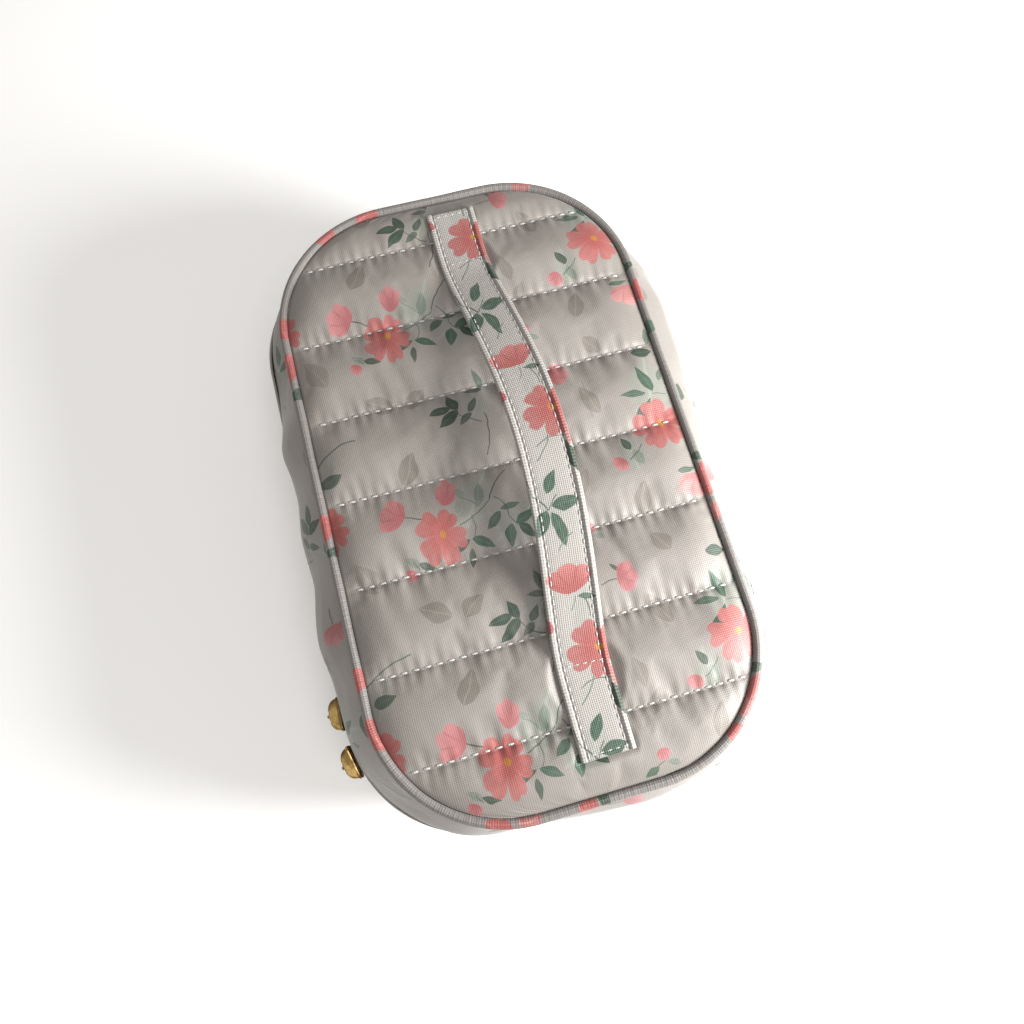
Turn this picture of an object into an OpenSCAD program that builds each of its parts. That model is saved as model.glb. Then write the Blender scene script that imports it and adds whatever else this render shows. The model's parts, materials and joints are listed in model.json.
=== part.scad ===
// Quilted makeup bag: padded lid and base with piped edges, soft bulging side walls,
// a coil zipper round three sides with two sliders, a fabric hinge on the fourth side,
// and a strap handle that arches over the lid.
// Origin: centre of the flat underside. X is across the bag, Y along it, Z up.

/* [Bag] */
// Width of the top and bottom panels, between their seams
panel_w = 130; // [110:1:150]
// Length of the top and bottom panels, between their seams
panel_l = 226; // [200:1:250]
// Corner radius of the panels
panel_r = 44.6; // [38:0.2:50]
// How far the long walls bulge past the panel seams at the zipper
bulge_side = 15; // [10:0.5:18]
// How far the short walls bulge past the panel seams at the zipper
bulge_end = 6; // [4:0.5:8]
// Corner radius at the zipper
waist_r = 47; // [46:0.5:50]
// Height of the lid's piped edge above the surface the bag stands on
edge_z = 80; // [74:1:90]
// Height of the zipper's centre line
zip_z = 48; // [44:0.5:50]

/* [Padding] */
// Thickness of the padding in the panels
wadding_t = 4; // [3:0.5:6]
// Rise of the lid panel's crown
crown_t = 1.6; // [1:0.2:2.4]
// Thickness of the padding in the side walls
wall_foam_t = 2; // [1.5:0.1:2.5]
// Diameter of the piping cord with its cover
piping_d = 4; // [3:0.5:5]
// Distance between two rows of quilting
quilt_pitch = 30.96; // [28:0.1:31.5]

/* [Handle] */
// Width of the strap
strap_w = 18.5; // [15:0.5:24]
// Length of the strap's free arch, along the bag
strap_span = 153; // [130:1:160]
// Height of the arch above the lid
strap_rise = 14; // [10:1:20]
// Sideways bow of the slack strap
strap_bow = 7; // [0:0.5:9]
// Length sewn down at the near end of the strap
strap_sewn_near = 31; // [24:1:32]
// Length sewn down at the far end of the strap
strap_sewn_far = 24; // [20:1:26]

/* [Zipper] */
// Length of a slider's body
slider_l = 12.5; // [11:0.5:13]
// Length of a pull tab
pull_l = 24; // [18:1:28]
// Angle round the front corner at which the second slider stands
slider_angle = 13; // [13:1:24]

/* [Hidden] */

cloth = "mistyrose";
lining = "lightgray";
brass = "goldenrod";

skin_t = 0.6;           // one layer of fabric
gap = 0.1;              // air between two layers that only lie on each other
part_gap = 0.3;         // air between the lid's pieces and the base's
round_fn = 96;

// Half sizes and corner radii of the outline at a panel seam and at the zipper
half_w = panel_w / 2;
half_l = panel_l / 2;
waist_w = half_w + bulge_side;
waist_l = half_l + bulge_end;

// Stack of heights from the bottom
base_seam_z = piping_d / 2 + 0.4;

// Vertical edges of the side walls and the zipper between them
zip_w = 1.5;            // height of one half of the coil
tape_show = 3.5;        // bare tape beside the coil
slot = 0.6;             // half of the slot that a slider's wedge runs in
wall_lo_top = zip_z - slot - zip_w - tape_show;
wall_up_bot = zip_z + slot + zip_w + tape_show;
tape_t = 0.7;
tape_in = skin_t + 0.2; // the tape lies this far inside the waist outline

// ---------- outlines ----------

// Rounded rectangle of half sizes a and b with corner radius r
module slab2d(a, b, r) {
    square([2 * a, 2 * (b - r)], center = true);
    square([2 * (a - r), 2 * b], center = true);
    for (x = [-1, 1], y = [-1, 1])
        translate([x * (a - r), y * (b - r)]) circle(r, $fn = round_fn);
}

// Seam outline grown by d
module seam2d(d) { slab2d(half_w + d, half_l + d, panel_r + d); }

// Zipper outline grown by d
module waist2d(d) { slab2d(waist_w + d, waist_l + d, waist_r + d); }

module band(z0, z1, d_out, d_in) {
    translate([0, 0, z0]) linear_extrude(z1 - z0)
        difference() { waist2d(d_out); waist2d(d_in); }
}

module panel(z0, t, d) { translate([0, 0, z0]) linear_extrude(t) seam2d(d); }

// ---------- bulging side walls ----------

corner_steps = 8;
rings = 7;

// Point k of the outline that is part way, w, from the seam to the waist, grown by d
function mix(a, b, w) = a + (b - a) * w;
function corner(k) = floor(k / (corner_steps + 1));
function corner_angle(k) = 90 * corner(k) + 90 * (k - corner(k) * (corner_steps + 1)) / corner_steps;
function rim(k, w, d) =
    let (a = mix(half_w, waist_w, w), b = mix(half_l, waist_l, w), r = mix(panel_r, waist_r, w),
         q = corner(k), t = corner_angle(k),
         sx = (q == 0 || q == 3) ? 1 : -1, sy = q < 2 ? 1 : -1)
    [sx * (a - r) + (r + d) * cos(t), sy * (b - r) + (r + d) * sin(t)];

rim_n = 4 * (corner_steps + 1);

// Bulge at height z: none at the two panel seams, full at the zipper
function swell(z) = z < zip_z
    ? sin(90 * (z - base_seam_z) / (zip_z - base_seam_z))
    : sin(90 * (edge_z - z) / (edge_z - zip_z));

// A wall from z0 to z1 whose faces stand d_out and d_in outside the bulging outline
module wall(z0, z1, d_out, d_in) {
    ring = [for (s = [0, 1], j = [0:rings - 1], k = [0:rim_n - 1])
        let (z = mix(z0, z1, j / (rings - 1)), p = rim(k, max(0, swell(z)), s == 0 ? d_out : d_in))
        [p[0], p[1], z]];
    m = rings * rim_n;
    function at(s, j, k) = s * m + j * rim_n + (k % rim_n);
    polyhedron(ring, concat(
        [for (j = [0:rings - 2], k = [0:rim_n - 1])
            [at(0, j, k), at(0, j + 1, k), at(0, j + 1, k + 1)]],
        [for (j = [0:rings - 2], k = [0:rim_n - 1])
            [at(0, j, k), at(0, j + 1, k + 1), at(0, j, k + 1)]],
        [for (j = [0:rings - 2], k = [0:rim_n - 1])
            [at(1, j, k), at(1, j + 1, k + 1), at(1, j + 1, k)]],
        [for (j = [0:rings - 2], k = [0:rim_n - 1])
            [at(1, j, k), at(1, j, k + 1), at(1, j + 1, k + 1)]],
        [for (k = [0:rim_n - 1]) [at(0, 0, k), at(0, 0, k + 1), at(1, 0, k + 1)]],
        [for (k = [0:rim_n - 1]) [at(0, 0, k), at(1, 0, k + 1), at(1, 0, k)]],
        [for (k = [0:rim_n - 1]) [at(0, rings - 1, k), at(1, rings - 1, k + 1), at(0, rings - 1, k + 1)]],
        [for (k = [0:rim_n - 1]) [at(0, rings - 1, k), at(1, rings - 1, k), at(1, rings - 1, k + 1)]]));
}

// Radial layers of a side wall, from the outside in
cover_out = 0;
cover_in = -skin_t;
foam_out = cover_in - gap;
foam_in = foam_out - wall_foam_t;
lining_out = foam_in - gap;
lining_in = lining_out - skin_t;

// ---------- hinge ----------

hinge_len = 128;                    // length of the fabric hinge on the right-hand wall
hinge_t = 0.8;
stop_l = 3;

// The part of the zipper that goes round the bag, leaving out the hinged side
module zip_run() {
    difference() {
        children();
        translate([waist_w / 2, -hinge_len / 2 - stop_l, 0])
            cube([waist_w, hinge_len + 2 * stop_l, edge_z]);
    }
}

// ---------- piping ----------

// Round cord along the seam outline, its centre d outside the seam
module cord_ring(d, z, dia) {
    a = half_w + d;
    b = half_l + d;
    r = panel_r + d;
    translate([0, 0, z]) {
        for (x = [-1, 1]) translate([x * a, 0, 0]) rotate([90, 0, 0])
            cylinder(h = 2 * (b - r), d = dia, center = true, $fn = round_fn);
        for (y = [-1, 1]) translate([0, y * b, 0]) rotate([0, 90, 0])
            cylinder(h = 2 * (a - r), d = dia, center = true, $fn = round_fn);
        for (q = [0:3])
            translate([(q == 0 || q == 3 ? 1 : -1) * (a - r), (q < 2 ? 1 : -1) * (b - r), 0])
                rotate([0, 0, 90 * q])
                    rotate_extrude(angle = 90, $fn = round_fn)
                        translate([r, 0]) circle(d = dia, $fn = round_fn);
    }
}

// ---------- lid ----------

lid_top = edge_z + crown_t;
pipe_out = piping_d / 2;

module lid_panel_cover() { color(cloth) panel(lid_top - skin_t, skin_t, -1); }
module lid_wadding() {
    color("white") panel(lid_top - skin_t - gap - wadding_t, wadding_t, -1.5);
}
lid_lining_z = lid_top - skin_t - wadding_t - 2 * gap - skin_t;
module lid_panel_lining() { color(lining) panel(lid_lining_z, skin_t, -1.5); }

// Rows of lock stitches across the lid
thread_d = 0.8;
quilt_first = half_l - 17.5;
module lid_quilting_thread() {
    color("ivory") for (k = [0:6]) {
        y = quilt_first - k * quilt_pitch;
        dy = max(0, abs(y) - (half_l - panel_r));
        reach = half_w - panel_r + sqrt(panel_r * panel_r - dy * dy) - 4;
        translate([-reach, y - thread_d / 2, lid_top + gap / 2]) cube([2 * reach, thread_d, thread_d / 2]);
    }
}

module lid_piping() { color(cloth) cord_ring(pipe_out, edge_z, piping_d); }
lid_wall_top = edge_z - pipe_out - 0.1;
module lid_gusset() { color(cloth) wall(wall_up_bot, lid_wall_top, cover_out, cover_in); }
lid_inner_top = lid_lining_z - gap;
module lid_gusset_foam() { color("white") wall(wall_up_bot, lid_inner_top, foam_out, foam_in); }
module lid_gusset_lining() { color(lining) wall(wall_up_bot, lid_inner_top, lining_out, lining_in); }

// Flat tape that covers the raw edges of a seam, its outer edge d from the seam
binding_w = 7;
binding_t = 0.8;
module binding(z, d) {
    color(lining) translate([0, 0, z]) linear_extrude(binding_t)
        difference() { seam2d(d); seam2d(d - binding_w); }
}
module lid_seam_binding() { binding(lid_lining_z - gap - binding_t, lining_in - gap); }
module zipper_tape_upper() {
    color("tan") zip_run() band(zip_z + slot + zip_w, wall_up_bot - gap, -tape_in, -tape_in - tape_t);
}
module zipper_teeth_upper() {
    color("wheat") zip_run()
        band(zip_z + slot, zip_z + slot + zip_w - 0.05, -tape_in + 0.6, -tape_in - tape_t - 0.6);
}
module hinge_half(z0, z1) {
    color(cloth) translate([waist_w - 0.4, -hinge_len / 2, z0]) cube([hinge_t, hinge_len, z1 - z0]);
}
module hinge_panel_upper() { hinge_half(zip_z + part_gap / 2, wall_up_bot - gap); }

// ---------- handle ----------

strap_t = 1.8;
strap_mid = 4;                      // the strap lies a little to the right of the middle
strap_y0 = -71;                     // near end of the free arch
strap_y1 = strap_y0 + strap_span;
strap_seat = lid_top + thread_d / 2 + 0.2;

// Share of the arch passed at y, and the strap's place there
function along(y) = min(1, max(0, (y - strap_y0) / strap_span));
function strap_x(y) = strap_mid + strap_bow * pow(sin(180 * along(y)), 1.2) + 1.5;
function strap_z(y) = strap_seat + strap_rise * pow(sin(180 * along(y)), 1.1);

strap_steps = 20;
// A layer of the strap from c0 to c1 across it: t thick, its underside dz above the seat,
// its ends drawn in by inset
module strap_layer(t, dz, c0, c1, inset) {
    ys = concat([strap_y0 - strap_sewn_near + inset],
                [for (k = [0:strap_steps]) strap_y0 + strap_span * k / strap_steps],
                [strap_y1 + strap_sewn_far - inset]);
    n = len(ys);
    pts = [for (y = ys, c = [[c0, 0], [c1, 0], [c1, t], [c0, t]])
        [strap_x(y) + c[0], y, strap_z(y) + dz + c[1]]];
    polyhedron(pts, concat(
        [[0, 1, 2], [0, 2, 3]],
        [for (i = [0:n - 2], c = [0:3]) [4 * i + c, 4 * i + 4 + c, 4 * i + 4 + (c + 1) % 4]],
        [for (i = [0:n - 2], c = [0:3]) [4 * i + c, 4 * i + 4 + (c + 1) % 4, 4 * i + (c + 1) % 4]],
        [[4 * n - 4, 4 * n - 2, 4 * n - 3], [4 * n - 4, 4 * n - 1, 4 * n - 2]]));
}
edge_w = 1.8;
ply = (strap_t - gap) / 3;
inner_w = strap_w / 2 - edge_w - gap / 2;
module handle_back() { color("seashell") strap_layer(ply, 0, -inner_w, inner_w, 0); }
module handle_core() { color("white") strap_layer(ply, ply + gap / 2, -inner_w, inner_w, 1); }
module handle_face() { color("seashell") strap_layer(ply, 2 * ply + gap, -inner_w, inner_w, 0); }
module handle_edge_left() { color("linen") strap_layer(strap_t, 0, -strap_w / 2, -strap_w / 2 + edge_w, 0); }
module handle_edge_right() { color("linen") strap_layer(strap_t, 0, strap_w / 2 - edge_w, strap_w / 2, 0); }
// Square of firm cloth inside the lid that a strap end is sewn to
patch_t = 1;
patch_l = 18;
module handle_patch(y) {
    color(lining) translate([strap_x(y) - strap_w / 2, y - patch_l / 2, lid_lining_z - gap - patch_t])
        cube([strap_w, patch_l, patch_t]);
}
module handle_patch_far() { handle_patch(strap_y1 + 1 + patch_l / 2); }
module handle_patch_near() { handle_patch(strap_y0 - 2 - patch_l / 2); }
// Box of stitches on top of a sewn strap end that is len long
stitch_in = 3;
module handle_stitching(y, len) {
    box_w = strap_w - 2 * stitch_in;
    box_l = len - 2 * stitch_in;
    color("linen") translate([strap_x(y), y, strap_seat + strap_t + gap / 2]) linear_extrude(thread_d / 2)
        difference() {
            square([box_w, box_l], center = true);
            square([box_w - 2 * thread_d, box_l - 2 * thread_d], center = true);
        }
}
module handle_stitching_far() { handle_stitching(strap_y1 + strap_sewn_far / 2, strap_sewn_far); }
module handle_stitching_near() { handle_stitching(strap_y0 - strap_sewn_near / 2, strap_sewn_near); }

// ---------- base ----------

module base_panel_cover() { color(cloth) panel(0, skin_t, -1); }
module base_wadding() { color("white") panel(skin_t + gap, wadding_t, -1.5); }
stiff_z = skin_t + wadding_t + 2 * gap;
stiff_t = 1.2;
module base_stiffener() { color("gainsboro") panel(stiff_z, stiff_t, -4); }
module base_panel_lining() { color(lining) panel(stiff_z + stiff_t + gap, skin_t, -4); }
module base_piping() { color(cloth) cord_ring(pipe_out, base_seam_z, piping_d); }
base_wall_bot = base_seam_z + pipe_out + 0.1;
base_inner_z = stiff_z + stiff_t + skin_t + 2 * gap;
module base_gusset() { color(cloth) wall(base_wall_bot, wall_lo_top, cover_out, cover_in); }
module base_gusset_foam() { color("white") wall(base_inner_z, wall_lo_top, foam_out, foam_in); }
module base_gusset_lining() { color(lining) wall(base_inner_z, wall_lo_top, lining_out, lining_in); }
module base_seam_binding() { binding(base_inner_z, -4); }
module zipper_tape_lower() {
    color("tan") zip_run() band(wall_lo_top + gap, zip_z - slot - zip_w, -tape_in, -tape_in - tape_t);
}
module zipper_teeth_lower() {
    color("wheat") zip_run()
        band(zip_z - slot - zip_w + 0.05, zip_z - slot, -tape_in + 0.6, -tape_in - tape_t - 0.6);
}
module end_stop(y) {
    color(brass) translate([waist_w - 2.6, y - stop_l / 2 + 0.3, zip_z - slot - zip_w - 1])
        cube([2.4, stop_l - 0.6, zip_w + 1]);
}
module zipper_end_stop_far() { end_stop(hinge_len / 2 + stop_l / 2); }
module zipper_end_stop_near() { end_stop(-hinge_len / 2 - stop_l / 2); }
module hinge_panel_lower() { hinge_half(wall_lo_top + gap, zip_z - part_gap / 2); }

// ---------- sliders ----------

// A slider in its own frame: chain along Y at x = 0, outside towards -X, nose towards +Y
chain_half = tape_t / 2 + 0.6;      // half thickness of the coil
run_clear = 0.7;                    // air between the coil and a slider's plates
plate_t = 1.1;
plate_h = 8;
slider_half = chain_half + run_clear;
wedge_t = 0.5;
wedge_l = 2.2;
flange_h = 1;
flange_w = slider_half - tape_t / 2 - run_clear;
bridge_h = 4;
bridge_t = 1.3;
bridge_w = 2.8;
bridge_l = slider_l - 3;
bar_x = -(slider_half + plate_t + bridge_h - bridge_t / 2);
eye_in = 1.75;
eye_out = 2.9;
eye_t = 1.6;
pull_w = 6.5;
pull_t = 1.2;
tip_r = 1.6;

module slider_body() {
    color(brass) {
        for (s = [-1, 1]) {
            translate([s * (slider_half + plate_t / 2), 0, 0])
                cube([plate_t, slider_l, plate_h], center = true);
            translate([s * (slider_half - flange_w / 2 + 0.01), 0, (flange_h - plate_h) / 2])
                cube([flange_w + 0.02, slider_l, flange_h], center = true);
        }
        translate([0, slider_l / 2 - wedge_l / 2 - 0.4, 0])
            cube([2 * slider_half + 0.2, wedge_l, wedge_t], center = true);
    }
}

// Arch that carries the pull, standing on the outer plate
module slider_bridge() {
    x0 = -(slider_half + plate_t) - bridge_h;
    color(brass) difference() {
        translate([x0, -bridge_l / 2, -bridge_w / 2]) cube([bridge_h, bridge_l, bridge_w]);
        translate([x0 + bridge_t, -bridge_l / 2 + bridge_t, -bridge_w])
            cube([bridge_h, bridge_l - 2 * bridge_t, 2 * bridge_w]);
    }
}

// Tab that hangs from an eye round the bridge's bar
module pull() {
    color(brass) translate([bar_x, 0, 0]) {
        rotate([90, 0, 0]) difference() {
            cylinder(h = eye_t, r = eye_out, center = true, $fn = round_fn);
            cylinder(h = 2 * eye_t, r = eye_in, center = true, $fn = round_fn);
        }
        rotate([90, 0, 90]) linear_extrude(pull_t, center = true) difference() {
            union() {
                translate([-eye_t / 2, -eye_out - 2.5]) square([eye_t, 2.7]);
                translate([-pull_w / 2, -pull_l + tip_r]) square([pull_w, pull_l - eye_out - 1.5 - tip_r]);
                translate([-pull_w / 2 + tip_r, -pull_l]) square([pull_w - 2 * tip_r, 2 * tip_r]);
                for (s = [-1, 1])
                    translate([s * (pull_w / 2 - tip_r), -pull_l + tip_r]) circle(tip_r, $fn = round_fn);
            }
            translate([0, -pull_l + 5]) circle(1.4, $fn = round_fn);
        }
    }
}

// Slider A runs on the straight left side, slider B on the arc of the front left corner
chain_in = tape_in + tape_t / 2;
slider_a_y = -65;
module place_a() {
    translate([-waist_w + chain_in, slider_a_y, zip_z]) mirror([0, 1, 0]) children();
}
module place_b() {
    translate([-waist_w + waist_r, -waist_l + waist_r, zip_z]) rotate([0, 0, slider_angle])
        translate([-waist_r + chain_in, 0, 0]) children();
}
module slider_body_a() { place_a() slider_body(); }
module slider_bridge_a() { place_a() slider_bridge(); }
module pull_a() { place_a() pull(); }
module slider_body_b() { place_b() slider_body(); }
module slider_bridge_b() { place_b() slider_bridge(); }
module pull_b() { place_b() pull(); }

lid_panel_cover();
lid_wadding();
lid_panel_lining();
lid_quilting_thread();
lid_piping();
lid_gusset();
lid_gusset_foam();
lid_gusset_lining();
lid_seam_binding();
zipper_tape_upper();
zipper_teeth_upper();
hinge_panel_upper();
handle_face();
handle_core();
handle_back();
handle_edge_left();
handle_edge_right();
handle_patch_far();
handle_patch_near();
handle_stitching_far();
handle_stitching_near();
base_panel_cover();
base_wadding();
base_stiffener();
base_panel_lining();
base_piping();
base_gusset();
base_gusset_foam();
base_gusset_lining();
base_seam_binding();
zipper_tape_lower();
zipper_teeth_lower();
zipper_end_stop_far();
zipper_end_stop_near();
hinge_panel_lower();
slider_body_a();
slider_bridge_a();
pull_a();
slider_body_b();
slider_bridge_b();
pull_b();
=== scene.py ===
"""Looks of the quilted makeup bag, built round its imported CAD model. Sizes here are in millimetres."""

import math
import json

import bmesh
import bpy
import numpy as np
from mathutils import Matrix, Vector


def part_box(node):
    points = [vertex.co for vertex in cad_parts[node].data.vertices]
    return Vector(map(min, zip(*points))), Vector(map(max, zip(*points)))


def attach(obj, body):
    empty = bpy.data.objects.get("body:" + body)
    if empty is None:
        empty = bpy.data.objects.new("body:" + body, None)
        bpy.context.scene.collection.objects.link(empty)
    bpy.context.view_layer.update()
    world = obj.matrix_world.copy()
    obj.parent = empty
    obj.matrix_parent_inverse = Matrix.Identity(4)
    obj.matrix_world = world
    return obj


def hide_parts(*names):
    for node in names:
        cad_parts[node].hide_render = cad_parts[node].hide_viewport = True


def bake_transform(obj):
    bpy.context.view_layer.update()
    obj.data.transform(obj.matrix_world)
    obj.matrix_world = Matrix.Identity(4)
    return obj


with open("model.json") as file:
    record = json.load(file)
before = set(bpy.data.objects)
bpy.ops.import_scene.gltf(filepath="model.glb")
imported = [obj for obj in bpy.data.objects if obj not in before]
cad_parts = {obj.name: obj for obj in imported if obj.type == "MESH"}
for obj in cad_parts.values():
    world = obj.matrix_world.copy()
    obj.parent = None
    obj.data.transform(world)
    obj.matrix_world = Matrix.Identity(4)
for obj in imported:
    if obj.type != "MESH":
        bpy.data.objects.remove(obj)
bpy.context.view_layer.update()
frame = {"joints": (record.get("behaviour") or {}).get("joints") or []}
MM = 0.001


# ---------------------------------------------------------------- sizes from the frame


def span(node):
    """Lowest and highest corner of a CAD node, in millimetres."""
    low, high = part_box(node)
    return np.array(low) / MM, np.array(high) / MM


def joint(name):
    """Axis point and direction of a joint, in millimetres."""
    found = next(j for j in frame["joints"] if j["name"] == name)
    return np.array(found.get("pos_m", (0, 0, 0))) / MM, np.array(found["axis"], float)


# The piping, whose CAD radius leaves room for the cover. The drawn cord is slimmer, close to the seam.
PIPE_LOW, PIPE_HIGH = span("lid_piping")
PIPE_R = (PIPE_HIGH[2] - PIPE_LOW[2]) / 2
EDGE_Z = PIPE_LOW[2] + PIPE_R
CORD_R, CORD_OUT = 0.80 * PIPE_R, 0.88 * PIPE_R

# The panels' seam outline, the zipper, and the waist where the walls reach furthest out
HALF_W = PIPE_HIGH[0] - 2 * PIPE_R
HALF_L = PIPE_HIGH[1] - 2 * PIPE_R
BASE_PIPE_LOW, BASE_PIPE_HIGH = span("base_piping")
BASE_SEAM_Z = (BASE_PIPE_LOW[2] + BASE_PIPE_HIGH[2]) / 2
TEETH_LOW, TEETH_HIGH = span("zipper_teeth_lower")
TEETH_UP_LOW, TEETH_UP_HIGH = span("zipper_teeth_upper")
ZIP_Z = (TEETH_HIGH[2] + TEETH_UP_LOW[2]) / 2
COIL_INSET = 1.15  # from the waist in to the middle of the teeth
TEETH_GAP = 0.2  # from the teeth out to the waist
WAIST_W = -TEETH_LOW[0] + TEETH_GAP
WAIST_L = TEETH_HIGH[1] + TEETH_GAP
SEAM_R = 44.6
WAIST_R = WAIST_W + joint("slider_b_run")[0][0]
GUSSET_TOP = span("base_gusset")[1][2]
LID_GUSSET_LOW = span("lid_gusset")[0][2]


# ---------------------------------------------------------------- camera, light and floor


LENS = 26.02  # millimetres, on a sensor 36 wide
CAMERA_OVER_LID = 251.4
LAMP_COLOUR = (1.0, 0.99, 0.98)
SKY_COLOUR = (1.0, 0.965, 0.925, 1)
FLOOR_COLOUR = (0.93, 0.93, 0.925, 1)


def make_camera():
    """The camera stands over the bag's near left part and looks down steeply."""
    place = Vector((-25.2, -77.5, CAMERA_OVER_LID + EDGE_Z)) * MM
    right = Vector((0.96365, -0.26640, 0.02011))
    up = Vector((0.25285, 0.93377, 0.25327))
    right.normalize()
    back = right.cross(up).normalized()
    up = back.cross(right)
    data = bpy.data.cameras.new("camera")
    data.sensor_width, data.lens = 36, LENS
    data.clip_start, data.clip_end = 0.01, 20
    camera = bpy.data.objects.new("camera", data)
    turn = Matrix((right, up, back)).transposed().to_4x4()
    camera.matrix_world = Matrix.Translation(place) @ turn
    bpy.context.scene.collection.objects.link(camera)
    bpy.context.scene.camera = camera


def area_light(name, place, aim, size, power):
    """A round lamp at place, in metres, that faces aim. The camera doesn't see it."""
    data = bpy.data.lights.new(name, "AREA")
    data.shape = "DISK"
    data.size, data.energy = size, power
    data.color = LAMP_COLOUR
    light = bpy.data.objects.new(name, data)
    light.location = place
    light.rotation_euler = (Vector(aim) - Vector(place)).to_track_quat("-Z", "Y").to_euler()
    light.visible_camera = False
    bpy.context.scene.collection.objects.link(light)


def make_stage():
    """A white floor and soft light: a pale sky, a low window lamp at the right and a high fill lamp."""
    bpy.context.scene.view_settings.view_transform = "Standard"
    world = bpy.data.worlds.new("studio")
    world.use_nodes = True
    background = world.node_tree.nodes["Background"]
    background.inputs["Color"].default_value = SKY_COLOUR
    background.inputs["Strength"].default_value = 0.46
    bpy.context.scene.world = world
    area_light("window", (0.36, -0.19, 0.26), (0.04, 0, 0.05), 0.20, 6.6)
    area_light("fill", (0.1, -0.5, 1.6), (0, 0, 0.05), 1.0, 13)
    bpy.ops.mesh.primitive_plane_add(size=8, location=(0, 0, -0.0005))
    floor = bpy.context.object
    floor.name = "floor"
    matt = bpy.data.materials.new("floor_white")
    matt.use_nodes = True
    shader = matt.node_tree.nodes["Principled BSDF"]
    shader.inputs["Base Color"].default_value = FLOOR_COLOUR
    shader.inputs["Roughness"].default_value = 0.75
    floor.data.materials.append(matt)


# ---------------------------------------------------------------- node helpers


class Net:
    """Short names for building a node tree."""

    def __init__(self, tree):
        self.tree = tree

    def add(self, kind, **settings):
        node = self.tree.nodes.new(kind)
        for key, value in settings.items():
            setattr(node, key, value)
        return node

    def put(self, socket, value):
        """Links an output to the socket, or sets the socket to a plain value."""
        if isinstance(value, bpy.types.NodeSocket):
            self.tree.links.new(value, socket)
        elif value is not None:
            if socket.type == "RGBA" and len(value) == 3:
                value = (*value, 1)
            socket.default_value = value

    def calc(self, operation, *values, clamp=False):
        node = self.add("ShaderNodeMath", operation=operation, use_clamp=clamp)
        for socket, value in zip(node.inputs, values):
            self.put(socket, value)
        return node.outputs[0]

    def plus(self, a, b, clamp=False):
        return self.calc("ADD", a, b, clamp=clamp)

    def less(self, a, b):
        return self.calc("SUBTRACT", a, b)

    def times(self, a, b):
        return self.calc("MULTIPLY", a, b)

    def times_plus(self, a, b, c, clamp=False):
        """a times b, plus c."""
        return self.calc("MULTIPLY_ADD", a, b, c, clamp=clamp)

    def sine(self, a):
        return self.calc("SINE", a)

    def grey(self, value):
        return self.join(value, value, value)

    def ease(self, value, low, high, to_low=0.0, to_high=1.0):
        """Smooth step from to_low to_high as value goes from low to high."""
        node = self.add("ShaderNodeMapRange", interpolation_type="SMOOTHSTEP")
        for socket, v in zip(node.inputs, (value, low, high, to_low, to_high)):
            self.put(socket, v)
        return node.outputs[0]

    def blend(self, factor, a, b, mode="MIX"):
        node = self.add("ShaderNodeMix", data_type="RGBA", blend_type=mode)
        for index, value in ((0, factor), (6, a), (7, b)):
            self.put(node.inputs[index], value)
        return node.outputs[2]

    def split(self, vector):
        node = self.add("ShaderNodeSeparateXYZ")
        self.put(node.inputs[0], vector)
        return node.outputs[:3]

    def join(self, x, y, z=0.0):
        node = self.add("ShaderNodeCombineXYZ")
        for socket, value in zip(node.inputs, (x, y, z)):
            self.put(socket, value)
        return node.outputs[0]

    def vector(self, operation, *values, out=0):
        node = self.add("ShaderNodeVectorMath", operation=operation)
        for socket, value in zip(node.inputs, values):
            self.put(socket, value)
        return node.outputs[out]

    def dot(self, vector, x, y):
        return self.vector("DOT_PRODUCT", vector, (x, y, 0), out="Value")

    def place(self, vector, x, y, angle, sx, sy):
        """Coordinates of a motif at (x, y), turned by angle, whose half sizes are sx and sy."""
        from_it = self.vector("SUBTRACT", vector, (x, y, 0))
        c, s = math.cos(math.radians(angle)), math.sin(math.radians(angle))
        return self.dot(from_it, c / sx, s / sx), self.dot(from_it, -s / sy, c / sy)

    def noise(self, vector, scale, detail=2.0, rough=0.5):
        node = self.add("ShaderNodeTexNoise")
        self.put(node.inputs["Vector"], vector)
        node.inputs["Scale"].default_value = scale
        node.inputs["Detail"].default_value = detail
        node.inputs["Roughness"].default_value = rough
        return node.outputs[0], node.outputs[1]

    def group(self, name, *values):
        node = self.add("ShaderNodeGroup", node_tree=bpy.data.node_groups[name])
        for socket, value in zip(node.inputs, values):
            self.put(socket, value)
        return node.outputs


SOCKET_KINDS = {"At": "NodeSocketVector", "Colour": "NodeSocketColor"}


def new_group(name, inputs, outputs):
    """An empty node group: its Net, and the sockets that give its inputs and take its outputs."""
    tree = bpy.data.node_groups.new(name, "ShaderNodeTree")
    for way, labels in (("INPUT", inputs), ("OUTPUT", outputs)):
        for label in labels:
            kind = SOCKET_KINDS.get(label, "NodeSocketFloat")
            tree.interface.new_socket(name=label, in_out=way, socket_type=kind)
    net = Net(tree)
    return net, net.add("NodeGroupInput").outputs, net.add("NodeGroupOutput").inputs


# ---------------------------------------------------------------- colours

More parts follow.
